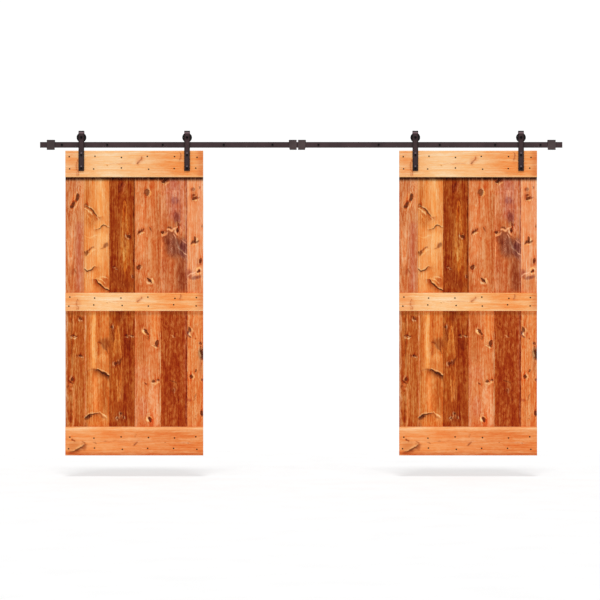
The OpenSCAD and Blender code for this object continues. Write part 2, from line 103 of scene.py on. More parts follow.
class Nodes:
    """Adds nodes to one tree. An input may be a number, a tuple or another node's output."""

    def __init__(self, tree):
        self.tree = tree

    def put(self, socket, value):
        if isinstance(value, bpy.types.NodeSocket):
            self.tree.links.new(value, socket)
        else:
            socket.default_value = value

    def add(self, kind, inputs=(), **settings):
        node = self.tree.nodes.new(kind)
        for key, value in settings.items():
            setattr(node, key, value)
        for place, value in dict(inputs).items():
            self.put(node.inputs[place], value)
        return node

    def math(self, operation, *values):
        return self.add("ShaderNodeMath", enumerate(values), operation=operation).outputs[0]

    def plus(self, *values):
        total = values[0]
        for value in values[1:]:
            total = self.math("ADD", total, value)
        return total

    def times(self, *values):
        total = values[0]
        for value in values[1:]:
            total = self.math("MULTIPLY", total, value)
        return total

    def spread(self, value, low, high, out_low=0.0, out_high=1.0, smooth=True):
        """Maps low..high to out_low..out_high and stops at both ends."""
        kind = "SMOOTHSTEP" if smooth else "LINEAR"
        inputs = {0: value, 1: low, 2: high, 3: out_low, 4: out_high}
        return self.add("ShaderNodeMapRange", inputs, interpolation_type=kind).outputs[0]

    def gap(self, a, b):
        """How far apart two values are."""
        return self.math("ABSOLUTE", self.math("SUBTRACT", a, b))

    def mix(self, amount, a, b):
        """From colour a to colour b."""
        node = self.add("ShaderNodeMix", data_type="RGBA")
        self.put(node.inputs[0], amount)
        self.put(node.inputs[6], a if not isinstance(a, tuple) else (*a, 1))
        self.put(node.inputs[7], b if not isinstance(b, tuple) else (*b, 1))
        return node.outputs[2]

    def scaled(self, vector, factors):
        inputs = {0: vector, 1: factors}
        return self.add("ShaderNodeVectorMath", inputs, operation="MULTIPLY").outputs[0]

    def noise(self, vector, scale, detail=3.0, roughness=0.55, distortion=0.0):
        """Smooth noise, about -1 to 1."""
        inputs = {"Vector": vector, "Scale": scale, "Detail": detail, "Roughness": roughness,
                  "Distortion": distortion}
        value = self.add("ShaderNodeTexNoise", inputs).outputs[0]
        return self.spread(value, *NOISE_RANGE, -1.0, 1.0, smooth=False)

    def place(self):
        """Where a point lies on its own object."""
        return self.add("ShaderNodeTexCoord").outputs["Object"]

    def attribute(self, name, output="Fac"):
        return self.add("ShaderNodeAttribute", attribute_name=name).outputs[output]


def new_material(name, metallic=0.0, shine=0.5):
    """A material and a helper for its nodes; the Principled node's own constants are set here."""
    material = bpy.data.materials.new(name)
    material.use_nodes = True
    shader = material.node_tree.nodes["Principled BSDF"]
    shader.inputs["Metallic"].default_value = metallic
    shader.inputs["Specular IOR Level"].default_value = shine
    return material, Nodes(material.node_tree), shader


def finish_material(nodes, shader, colour, roughness, height, depth):
    """Links colour and roughness, and a bump of that depth in metres."""
    nodes.put(shader.inputs["Base Color"], colour)
    nodes.put(shader.inputs["Roughness"], roughness)
    bump = nodes.add("ShaderNodeBump", {"Strength": 1.0, "Distance": depth, "Height": height})
    nodes.put(shader.inputs["Normal"], bump.outputs[0])


# ------------------------------------------------------------------ what each timber shows

# The marks of each plank, in millimetres on the door.
# stain: upper and lower colour. pith: x of the heart, how deep it lies at the top of the door and how
# much nearer it comes for each mm down. figure and speckle: how strongly rings and blotches show.
# streaks: x, half width, from z, to z, colour.
# patches: x, z, half width, half height, turn, colour, strength.
# arches: x and z of the tip, z of the feet, half width at the feet, how many, colour, strength.
# chevrons: x, from z, to z, spacing, half width, colour.
# strokes: their points, half width, colour, strength.
# knots: x, z, half width, half height, turn, darkness, and the direction of the painted highlight on one
# side of the rim, in degrees clockwise from the right.
# cracks: their points, half width, darkness, colour of the painted shade beside them, how far the
# painted shade reaches, and on which side, 1 for below and -1 for above.
PLANK_1 = dict(
    upper="#d8844e", lower="#be6124", pith=(-447, 40, -0.03), ring=7, figure=(0.55, 0.5),
    speckle=(0.5, 0.6),
    streaks=[
        (-364, 14, 160, 420, "#f0a66c"), (-462, 12, 160, 560, "#d0804e"), (-388, 26, 500, 985, "#ce7654"),
        (-476, 7, 1130, 1930, "#d69668"), (-438, 4, 1130, 1520, "#8c3c12"),
        (-426, 4, 1130, 1260, "#e48848"), (-424, 5, 1690, 1930, "#ec9050"),
        (-444, 4, 1690, 1900, "#964214"),
    ],
    patches=[
        (-412, 240, 26, 60, 0, "#ce7a4a", 0.5), (-416, 352, 44, 70, 20, "#f4a66c", 0.6),
        (-430, 850, 30, 22, 0, "#be683c", 0.5), (-448, 1640, 15, 12, 20, "#e68e54", 0.6),
        (-442, 1668, 17, 9, -12, "#e68e54", 0.5), (-378, 1180, 26, 22, 0, "#b0541e", 0.6),
        (-386, 1436, 34, 10, 0, "#a04616", 0.7), (-426, 1298, 30, 12, 0, "#a04818", 0.6),
    ],
    arches=[(-448, 806, 470, 20, 2, "#faa46a", 0.75)],
    chevrons=[(-385, 190, 300, 24, 26, "#f6ac74")],
    strokes=[
        ([(-444, 1312), (-426, 1318), (-402, 1308)], 3.5, PALE, 0.7),
        ([(-404, 1150), (-390, 1160), (-372, 1170)], 3, RUSSET, 0.6),
        ([(-458, 1604), (-446, 1622), (-430, 1632)], 4, RUSSET, 0.8),
        ([(-418, 826), (-416, 842), (-404, 862)], 3, "#964622", 0.7),
    ],
    knots=[
        (-398, 328, 11, 30, 14, 1.0, 200), (-430, 377, 14, 30, 24, 1.0, 20),
        (-376, 1178, 11, 8, 20, 0.9, 120), (-440, 1297, 5, 5, 0, 0.7, 90), (-422, 1295, 7, 5, 0, 0.8, 90),
        (-408, 1301, 6, 5, 0, 0.7, 90), (-374, 1437, 12, 6, 8, 0.9, 90), (-434, 1600, 11, 12, 0, 0.9, 200),
        (-464, 1650, 6, 12, 0, 0.6, 0),
    ],
)
PLANK_2 = dict(
    upper="#ec9650", lower="#da7934", pith=(-380, 60, 0.004), ring=11, figure=(0.35, 0.45),
    speckle=(0.35, 0.5),
    streaks=[
        (-330, 20, 160, 400, "#ce7232"), (-240, 30, 160, 800, "#fcb26a"), (-300, 26, 560, 985, "#f6a864"),
        (-182, 8, 200, 985, "#e88e48"), (-286, 17, 1130, 1530, "#ffb86c"), (-343, 4, 1130, 1930, "#f0a074"),
        (-334, 12, 1130, 1930, "#c46c2a"), (-206, 22, 1610, 1840, "#be6426"),
        (-272, 15, 1580, 1830, "#faa058"), (-240, 7, 1130, 1480, "#ce6e2e"),
    ],
    patches=[
        (-300, 470, 48, 70, 14, "#ce702c", 0.85), (-230, 930, 46, 50, -18, "#de823e", 0.5),
        (-198, 920, 26, 50, 0, "#c45c22", 0.8), (-214, 610, 44, 40, 0, "#feb870", 0.6),
        (-196, 1352, 30, 46, 0, "#a04816", 0.9), (-222, 1344, 34, 30, 34, "#a44c18", 0.8),
        (-224, 1450, 40, 32, 0, "#f0984e", 0.6), (-205, 1225, 30, 60, 0, "#e48842", 0.5),
        (-270, 1925, 60, 40, 0, "#e28238", 0.6), (-336, 1930, 16, 30, 0, "#aa5624", 0.7),
        (-336, 1580, 14, 50, 0, "#b86024", 0.6),
    ],
    arches=[(-292, 905, 700, 40, 2, "#feb870", 0.35)],
    chevrons=[(-296, 420, 520, 20, 40, "#f09c56")],
    strokes=[
        ([(-348, 712), (-338, 722), (-322, 700)], 11, "#964e22", 0.9),
        ([(-334, 706), (-312, 690), (-281, 674)], 5, "#b06030", 0.85),
        ([(-330, 736), (-300, 706), (-270, 690)], 4, PALE, 0.7),
        ([(-186, 644), (-196, 660), (-212, 674)], 10, "#9c5026", 0.9),
        ([(-206, 672), (-220, 684), (-238, 690)], 4, "#ba6834", 0.7),
        ([(-346, 408), (-312, 424), (-292, 452)], 4.5, PALE, 0.8),
        ([(-330, 448), (-312, 470), (-300, 500)], 4, "#f4a45c", 0.7),
        ([(-350, 600), (-310, 612), (-260, 590)], 4, PALE, 0.5),
        ([(-266, 892), (-236, 900), (-206, 926)], 3.5, PALE, 0.8),
        ([(-250, 886), (-214, 880), (-186, 896)], 3.5, PALE, 0.6),
        ([(-258, 500), (-246, 480), (-262, 462)], 3.5, PALE, 0.5),
        ([(-256, 1340), (-228, 1352), (-200, 1392), (-184, 1420)], 6, "#8c3a12", 0.7),
        ([(-254, 1160), (-246, 1200), (-254, 1240)], 3, "#c86428", 0.8),
        ([(-254, 1350), (-250, 1400), (-258, 1440)], 3, "#be6028", 0.8),
        ([(-344, 1546), (-300, 1530), (-258, 1524)], 3, "#b45c28", 0.7),
        ([(-344, 1882), (-330, 1868), (-300, 1858)], 9, "#6e2c0e", 0.95),
        ([(-248, 1838), (-222, 1862), (-200, 1884)], 4, "#b05a28", 0.8),
        ([(-244, 1828), (-214, 1850), (-192, 1872)], 3.5, PALE, 0.8),
        ([(-236, 1900), (-216, 1880), (-206, 1920)], 4, "#f0964e", 0.6),
    ],
    knots=[(-338, 384, 14, 13, 20, 0.55, 60)],
    cracks=[
        ([(-340, 391), (-305, 404), (-277, 438), (-258, 462)], 4.0, 0.8, "#c46226", 30, 1),
        ([(-270, 552), (-240, 544), (-224, 528), (-201, 521), (-175, 535)], 3.5, 0.75, "#d67c3a", 14, 1),
        ([(-350, 828), (-334, 842), (-310, 840), (-292, 824), (-274, 812)], 4.5, 0.85, "#c4682e", 16, 1),
        ([(-270, 900), (-243, 938), (-213, 960), (-174, 980)], 5.0, 0.95, "#b6541e", 26, 1),
        ([(-262, 1528), (-232, 1546), (-204, 1562), (-174, 1580)], 5.5, 0.95, "#702c0e", 26, 1),
        ([(-345, 1872), (-312, 1850), (-280, 1842), (-250, 1838)], 4.5, 0.85, "#b0541e", 18, 1),
    ],
)
PLANK_3 = dict(
    upper="#a64711", lower="#ac4c14", pith=(-66, 60, 0.021), ring=9, figure=(0.45, 0.45),
    speckle=(0.6, 0.6),
    streaks=[
        (-140, 30, 190, 985, "#a03f0c"), (-30, 22, 380, 985, "#b65618"), (-2, 4, 190, 985, "#5c2008"),
        (-64, 6, 690, 880, "#ce762a"), (-140, 30, 1130, 1740, "#b85a1a"), (-44, 40, 1130, 1900, "#9e3c0b"),
        (-91, 3.5, 1420, 1760, "#e08a42"), (-112, 8, 1260, 1400, "#bc5e1e"),
        (-152, 5, 1500, 1900, "#c46422"),
    ],
    patches=[
        (-88, 250, 26, 44, 20, "#8c2a0a", 0.8), (-66, 520, 14, 130, 0, "#b05218", 0.6),
        (-48, 600, 30, 30, 0, "#8c300a", 0.7), (-120, 880, 50, 70, 0, "#94360c", 0.5),
        (-60, 940, 60, 34, 0, "#90360e", 0.5), (-100, 1160, 40, 50, 0, "#92380e", 0.6),
        (-30, 1180, 26, 60, 0, "#c06020", 0.6), (-40, 1360, 42, 46, 0, "#90340a", 0.7),
        (-96, 1880, 50, 40, 0, "#963a0e", 0.6), (-150, 1290, 14, 60, 0, "#8c360e", 0.6),
    ],
    arches=[
        (-66, 352, 900, 30, 2, "#e08434", 0.95), (-64, 846, 620, 14, 1, "#e28c3a", 0.9),
        (-119, 1230, 1480, 26, 2, "#e68c3e", 0.95), (-110, 1756, 1520, 13, 1, "#e2883c", 0.9),
    ],
    strokes=[
        ([(-77, 206), (-84, 236), (-98, 256), (-104, 290)], 4, "#6e1e06", 0.85),
        ([(-66, 230), (-74, 270), (-88, 310)], 3, "#c4602c", 0.7),
        ([(-60, 612), (-40, 590), (-26, 580)], 4, "#d67a34", 0.6),
        ([(-150, 800), (-138, 816), (-120, 830)], 4, "#ce6e32", 0.6),
        ([(-116, 1506), (-98, 1470), (-84, 1450)], 4, "#782a0a", 0.8),
        ([(-70, 1300), (-40, 1298), (-6, 1300)], 4, "#ce6c2e", 0.6),
        ([(-92, 1830), (-84, 1860), (-76, 1890)], 3, "#d67a3a", 0.7),
        ([(-96, 1850), (-112, 1876), (-128, 1900)], 3, "#e08646", 0.8),
    ],
    knots=[
        (-42, 599, 10, 11, 0, 0.9, 150), (-140, 812, 6, 5, 0, 0.8, 90), (-124, 826, 5, 5, 0, 0.7, 90),
        (-10, 884, 6, 10, 0, 0.7, 180), (-158, 1234, 8, 14, 0, 0.8, 0), (-134, 1494, 10, 12, 0, 0.95, 180),
        (-118, 1484, 6, 10, 30, 0.7, 0), (-54, 1296, 9, 7, 0, 0.8, 90), (-16, 1296, 12, 5, 0, 0.7, 90),
        (-91, 1842, 9, 10, 0, 0.9, 180), (-116, 1874, 8, 7, 0, 0.8, 200), (-76, 1868, 6, 8, 0, 0.7, 0),
    ],
)
PLANK_4 = dict(
    upper="#de834a", lower="#de8248", pith=(120, 70, 0.012), ring=10, figure=(0.4, 0.35),
    speckle=(0.6, 0.6),
    streaks=[
        (168, 20, 300, 985, "#c66832"), (52, 26, 380, 800, "#ee965c"), (22, 16, 860, 985, "#c46830"),
        (120, 22, 600, 985, "#d6783e"), (40, 34, 1130, 1480, "#ca6c30"), (140, 30, 1130, 1340, "#f09652"),
        (14, 9, 1440, 1930, "#ce7042"), (140, 34, 1660, 1930, "#f29e68"), (184, 3.5, 1265, 1930, "#ffc484"),
        (177, 3, 1265, 1930, "#ba5c2e"), (8, 3, 1130, 1930, "#e48854"),
    ],
    patches=[
        (86, 293, 26, 40, 0, "#ce703a", 0.6), (42, 562, 34, 22, -30, "#c46432", 0.6),
        (122, 560, 16, 40, 10, "#cc6c38", 0.6), (34, 820, 24, 34, 20, "#c46430", 0.6),
        (60, 780, 40, 50, 0, "#ce723c", 0.4), (40, 960, 34, 40, 0, "#ce6e36", 0.6),
        (84, 1290, 20, 40, 10, "#ce7034", 0.6), (60, 1440, 40, 50, 0, "#ce723c", 0.5),
        (70, 1560, 50, 60, 0, "#dc8254", 0.5), (60, 1800, 40, 90, 0, "#d87c54", 0.5),
    ],
    strokes=[
        ([(70, 300), (74, 276), (92, 268), (104, 284), (100, 312)], 3.5, "#863e1c", 0.9),
        ([(106, 270), (114, 296), (106, 324)], 3.5, PALE, 0.7),
        ([(22, 590), (36, 572), (50, 560), (66, 548)], 6, "#803816", 0.85),
        ([(40, 590), (60, 572), (74, 566)], 3.5, PALE, 0.7),
        ([(106, 534), (114, 548), (122, 562)], 4, "#803818", 0.85),
        ([(22, 838), (20, 812), (34, 800), (48, 808)], 4, "#803816", 0.85),
        ([(90, 894), (106, 908), (124, 926)], 6, "#58240c", 0.9),
        ([(122, 892), (130, 912), (132, 932)], 5, PALE, 0.85),
        ([(84, 918), (98, 930), (112, 934)], 4, PALE, 0.6),
        ([(62, 1252), (64, 1272), (76, 1290)], 6, PALE, 0.95),
        ([(96, 1288), (100, 1306), (96, 1324)], 5, "#9e4e1e", 0.8),
        ([(122, 1364), (140, 1374), (160, 1384)], 4, PALE, 0.85),
        ([(134, 1370), (152, 1366), (168, 1372)], 4, "#783412", 0.8),
        ([(140, 1640), (158, 1626), (178, 1622)], 3.5, PALE, 0.7),
        ([(86, 1862), (88, 1884), (100, 1900)], 5, PALE, 0.95),
        ([(104, 1858), (120, 1866), (128, 1880)], 4, PALE, 0.7),
    ],
    knots=[
        (88, 293, 13, 20, 10, 0.75, 0), (36, 572, 13, 8, -30, 0.7, 60), (30, 820, 12, 17, 20, 0.75, 0),
        (107, 909, 12, 15, -40, 0.9, 0), (84, 1268, 11, 22, -34, 1.0, 180),
        (159, 1346, 10, 21, 14, 0.95, 180), (80, 1631, 5, 13, -34, 0.8, 180),
        (134, 1617, 13, 9, -20, 0.9, 90), (166, 1603, 10, 7, -20, 0.85, 90),
        (109, 1881, 12, 20, -14, 1.0, 180),
    ],
)
PLANK_5 = dict(
    upper="#d07540", lower="#ab4714", pith=(420, 60, -0.01), ring=8, figure=(0.55, 0.25),
    speckle=(0.6, 0.8),
    streaks=[
        (196, 12, 160, 985, "#da7e4a"), (208, 4, 200, 420, "#f09e68"), (228, 4, 200, 400, "#ec9874"),
        (280, 40, 190, 480, "#ce765c"), (340, 10, 190, 560, "#e28e68"), (318, 4, 230, 540, "#b25646"),
        (365, 3.5, 190, 985, "#96484a"), (188, 4, 230, 985, "#f6a46c"), (254, 3.5, 720, 980, "#e28a56"),
        (330, 40, 760, 985, "#9e4a26"), (194, 7, 1130, 1930, "#be581e"), (364, 4, 1130, 1930, "#8c3828"),
        (352, 4, 1130, 1700, "#c46032"),
    ],
    patches=[
        (283, 350, 30, 30, 0, "#9c4c42", 0.8), (298, 470, 26, 56, 0, "#94483a", 0.8),
        (250, 610, 56, 60, 0, "#8a442e", 0.7), (290, 680, 80, 80, 0, "#7c3a2a", 0.8),
        (346, 690, 30, 90, 0, "#6e302e", 0.75), (270, 288, 74, 10, 0, "#e69470", 0.6),
        (240, 880, 50, 80, 0, "#c4602c", 0.5), (214, 800, 34, 60, 0, "#c46234", 0.5),
        (340, 900, 30, 90, 0, "#964222", 0.5), (212, 214, 30, 16, -20, "#823a1e", 0.8),
        (300, 1200, 60, 60, 0, "#b04c1a", 0.5), (270, 1700, 60, 90, 0, "#a04012", 0.5),
    ],
    arches=[(300, 430, 240, 22, 1, "#e4926a", 0.6)],
    chevrons=[(256, 600, 740, 15, 15, "#e28c64"), (284, 268, 330, 17, 16, "#ffbe8c")],
    strokes=[
        ([(276, 587), (292, 612), (297, 645), (313, 684), (338, 708), (368, 732)], 3.5, "#faac7e", 0.95),
        ([(292, 610), (300, 650), (320, 690), (350, 724)], 5, "#602a24", 0.7),
        ([(228, 556), (244, 548), (262, 560), (280, 544), (292, 536)], 5, "#ffb880", 0.85),
        ([(286, 556), (292, 580), (306, 590)], 4, "#ffb880", 0.85),
        ([(322, 530), (330, 550), (322, 580)], 4, "#faac78", 0.7),
        ([(230, 540), (250, 538), (268, 546)], 4, "#80381a", 0.8),
        ([(196, 600), (214, 590), (236, 574)], 4, "#faa86e", 0.8),
        ([(330, 620), (350, 640), (366, 650)], 3.5, "#e28e68", 0.7),
        ([(214, 240), (232, 230), (246, 222)], 4, PALE, 0.6),
        ([(200, 640), (190, 680), (194, 740)], 3.5, "#faa86e", 0.8),
        ([(246, 1608), (270, 1614), (296, 1626)], 4, "#782a0c", 0.85),
        ([(254, 1290), (276, 1300), (262, 1316)], 3, "#e28446", 0.8),
    ],
    knots=[
        (206, 212, 14, 9, -20, 0.9, 90), (304, 556, 10, 16, 0, 1.0, 180), (195, 572, 11, 13, 0, 0.95, 60),
        (310, 520, 10, 12, 0, 0.6, 200), (278, 1296, 7, 6, 0, 0.4, 90), (272, 1677, 8, 8, 0, 0.4, 0),
    ],
)
PLANK_6 = dict(
    upper="#ee9d68", lower="#e28546", pith=(350, 70, 0.014), ring=10, figure=(0.35, 0.45),
    speckle=(0.45, 0.6),
    streaks=[
        (396, 14, 190, 560, "#f4a26c"), (462, 12, 190, 600, "#f2aa7e"), (374, 4, 190, 985, "#faac78"),
        (430, 50, 900, 985, "#d88048"), (440, 16, 1130, 1400, "#f09c5e"), (466, 12, 1460, 1560, "#c46a36"),
        (384, 12, 1380, 1930, "#ee9454"), (400, 16, 1640, 1930, "#dc8042"),
    ],
    patches=[
        (418, 322, 32, 36, 0, "#c87448", 0.7), (414, 272, 22, 20, 0, "#be6c44", 0.7),
        (386, 860, 24, 34, 0, "#b05842", 0.8), (430, 888, 44, 14, -10, "#964a36", 0.85),
        (394, 1270, 20, 40, -20, "#d27642", 0.6), (470, 1420, 24, 50, 0, "#783616", 0.95),
        (462, 1350, 16, 16, 0, "#aa562c", 0.7), (384, 1746, 18, 14, 0, "#bc5832", 0.7),
        (424, 1240, 30, 40, 0, "#dc8246", 0.5), (456, 780, 26, 34, 0, "#cc744a", 0.6),
    ],
    strokes=[
        ([(398, 652), (412, 638), (428, 640), (450, 630)], 8, "#783a1a", 0.9),
        ([(394, 664), (414, 660), (440, 656)], 3.5, PALE, 0.7),
        ([(436, 606), (440, 620), (434, 632)], 4, PALE, 0.7),
        ([(432, 836), (438, 822), (456, 820), (468, 832)], 3.5, PALE, 0.9),
        ([(436, 852), (450, 862), (466, 856)], 4, PALE, 0.8),
        ([(372, 876), (394, 866), (420, 856), (434, 850)], 4, "#ffbe90", 0.9),
        ([(374, 1276), (386, 1286), (400, 1298)], 4, PALE, 0.95),
        ([(370, 1290), (382, 1300), (398, 1306)], 4, "#783428", 0.85),
        ([(376, 1262), (374, 1280), (380, 1290)], 4, "#963c42", 0.8),
        ([(404, 1240), (410, 1262), (404, 1280)], 3.5, PALE, 0.6),
        ([(408, 1568), (420, 1588), (412, 1608)], 3.5, PALE, 0.7),
        ([(436, 1700), (424, 1726), (414, 1748)], 3, "#964824", 0.8),
        ([(432, 320), (446, 330), (456, 326)], 4, "#823e1e", 0.7),
        ([(414, 344), (428, 350), (442, 344)], 3.5, PALE, 0.6),
    ],
    knots=[
        (414, 272, 10, 12, 0, 0.45, 0), (417, 312, 10, 9, 0, 0.8, 0), (422, 335, 15, 9, 8, 0.95, 90),
        (456, 258, 6, 8, 20, 0.6, 180), (425, 618, 7, 18, 0, 0.9, 0), (474, 528, 5, 12, 0, 0.6, 180),
        (464, 770, 9, 20, 10, 0.85, 180), (452, 841, 10, 12, 0, 1.0, 220), (388, 1252, 9, 20, -16, 0.95, 0),
        (376, 1272, 7, 14, 0, 0.7, 0), (430, 1317, 6, 6, 0, 0.6, 90), (464, 1352, 8, 10, 0, 0.6, 180),
        (474, 1424, 9, 34, 0, 1.0, 180), (430, 1539, 6, 12, 0, 0.8, 0), (398, 1583, 11, 16, 10, 0.95, 0),
        (473, 1604, 8, 9, 0, 0.8, 180), (472, 1836, 8, 26, 0, 1.0, 180), (430, 1858, 4, 5, 0, 0.5, 0),
        (424, 1876, 4, 4, 0, 0.5, 0),
    ],
)
PLANKS = [PLANK_1, PLANK_2, PLANK_3, PLANK_4, PLANK_5, PLANK_6]

# The marks of the cross boards, whose grain runs sideways; z counts from the board's own top edge.
# streaks: x, half width, colour.
UPPER_MARKS = dict(
    streaks=[
        (-440, 50, "#f4a86c"), (-180, 150, "#fece98"), (20, 90, "#fcc286"), (310, 160, "#f4964e"),
        (470, 30, "#e2864c"),
    ],
    patches=[
        (40, 70, 44, 26, -40, "#ee9a5c", 0.8), (-396, 120, 26, 60, 0, "#eca066", 0.7),
        (326, 60, 20, 44, 0, "#e89254", 0.5), (-40, 150, 90, 14, 0, "#f8b87a", 0.5),
    ],
    strokes=[
        ([(60, 38), (48, 62), (32, 80), (16, 90)], 4.5, "#b0522a", 0.9),
        ([(26, 84), (20, 96), (26, 104)], 3, "#ce7442", 0.7),
        ([(-173, 92), (-90, 90), (16, 91)], 2.5, "#e89862", 0.8),
        ([(320, 10), (328, 36), (322, 62), (314, 80)], 3.5, "#b0542a", 0.85),
        ([(-398, 66), (-406, 100), (-404, 124), (-388, 154), (-396, 184)], 4, "#c8703e", 0.8),
        ([(-410, 150), (-400, 164), (-404, 182)], 3, "#d27c48", 0.7),
        ([(250, 150), (310, 158), (360, 156)], 2.5, "#e48e54", 0.6),
    ],
    knots=[(-189, 104, 5, 4, 0, 0.55, 90), (263, 125, 4, 5, 0, 0.6, 90), (24, 87, 8, 5, -40, 0.6, 90)],
)
LOWER_MARKS = dict(
    streaks=[(-300, 200, "#f29e5e"), (-60, 60, "#ee985a"), (300, 220, "#e6884a")],
    patches=[
        (-420, 140, 50, 50, 0, "#d88246", 0.7), (-352, 140, 20, 34, -20, "#c46c3a", 0.8),
        (20, 100, 30, 20, -50, "#e48c54", 0.6),
    ],
    strokes=[
        ([(-438, 84), (-426, 94), (-416, 104)], 3.5, "#aa562c", 0.8),
        ([(16, 56), (8, 66), (4, 70)], 3, "#c46c3a", 0.7),
        ([(18, 106), (6, 122), (-6, 138)], 4, "#964422", 0.9),
        ([(-290, 108), (-274, 112), (-262, 120)], 3, "#c46e3c", 0.8),
        ([(-212, 104), (-200, 108), (-192, 104)], 3, "#c46e3c", 0.7),
        ([(-380, 96), (-200, 102), (60, 104), (240, 98)], 2.5, "#e28a54", 0.7),
        ([(290, 110), (360, 114), (420, 112)], 3.5, "#d88050", 0.7),
        ([(-364, 96), (-348, 110), (-346, 126)], 4, "#ba6232", 0.8),
    ],
    knots=[(216, 108, 5, 5, 0, 0.5, 90), (374, 114, 4, 5, 0, 0.5, 90), (-434, 90, 6, 7, 0, 0.5, 90)],
    cracks=[([(-350, 118), (-366, 140), (-404, 164), (-444, 178)], 4.5, 0.7, "#9e4e26", 18, 1)],
)

# From the top. The middle board shows the top one's marks, squashed. highlight: colour of a painted
# highlight line along an edge, and how far below the top edge it lies, where None is the bottom edge.
EDGE_HIGHLIGHT = "#ffd096"
BOARDS = [
    dict(name="top_board", squash=1.0, base="#f9b87a", marks=UPPER_MARKS, highlight=(EDGE_HIGHLIGHT, None)),
    dict(name="mid_board", squash=0.68, base="#f8b676", marks=UPPER_MARKS, highlight=(EDGE_HIGHLIGHT, None)),
    dict(name="bottom_board", squash=1.0, base="#ec9456", marks=LOWER_MARKS, highlight=("#fcbe82", 12)),
]


# ------------------------------------------------------------------ fields over a timber's face

# Length and height of the waves of a grain line.
WAVES = [(310, 1.0), (127, 0.5), (53, 0.25)]
# Distances where there is no knot, crack or screw, in the units of each.
FAR_KNOT = 5.0
FAR = 20.0


def smooth(value, low, high):
    """0 below low, 1 above high and a smooth step between them."""
    t = np.clip((value - low) / (high - low), 0, 1)
    return t * t * (3 - 2 * t)


def wander(along, seed, reach):
    """A slow wave, so that streaks and rings aren't straight."""
    return reach * sum(a * np.sin(along * 2 * math.pi / w + seed * 1.7 * w) for w, a in WAVES)


def ripple(x, z, seed, wave):
    """Smooth noise over a face, about -1 to 1: waves of several lengths in several directions."""
    total = np.zeros(x.shape)
    for k in range(6):
        turn = seed + 2.4 * k
        length = wave * (0.7 + 0.13 * k)
        along = x * math.cos(turn) + z * math.sin(turn)
        total += np.sin(along * 2 * math.pi / length + 3.1 * seed * (k + 1))
    return total / 3


def oval(x, z, middle_x, middle_z, half_w, half_h, turn):
    """Distance from the middle of an oval, which is 1 at its rim, and the direction there."""
    c, s = math.cos(math.radians(turn)), math.sin(math.radians(turn))
    u = (x - middle_x) * c + (z - middle_z) * s
    v = (z - middle_z) * c - (x - middle_x) * s
    return np.hypot(u / half_w, v / half_h), np.arctan2(z - middle_z, x - middle_x)


def from_path(x, z, points):
    """Distance from a line through some points, how far above it (-) or below it (+), and how far along
    it, from 0 to 1."""
    best = np.full(x.shape, 1e9)
    side = np.zeros(x.shape)
    share = np.zeros(x.shape)
    pieces = len(points) - 1
    for k, ((x0, z0), (x1, z1)) in enumerate(zip(points, points[1:])):
        along = np.array([x1 - x0, z1 - z0], float)
        t = np.clip(((x - x0) * along[0] + (z - z0) * along[1]) / (along @ along), 0, 1)
        dx = x - x0 - t * along[0]
        dz = z - z0 - t * along[1]
        d = np.hypot(dx, dz)
        nearer = d < best
        best = np.where(nearer, d, best)
        side = np.where(nearer, dz, side)
        share = np.where(nearer, (k + t) / pieces, share)
    return best, side, share


def bell(value, half_w):
    """1 where the value is 0, fading out on both sides."""
    return np.exp(-((value / half_w) ** 2))


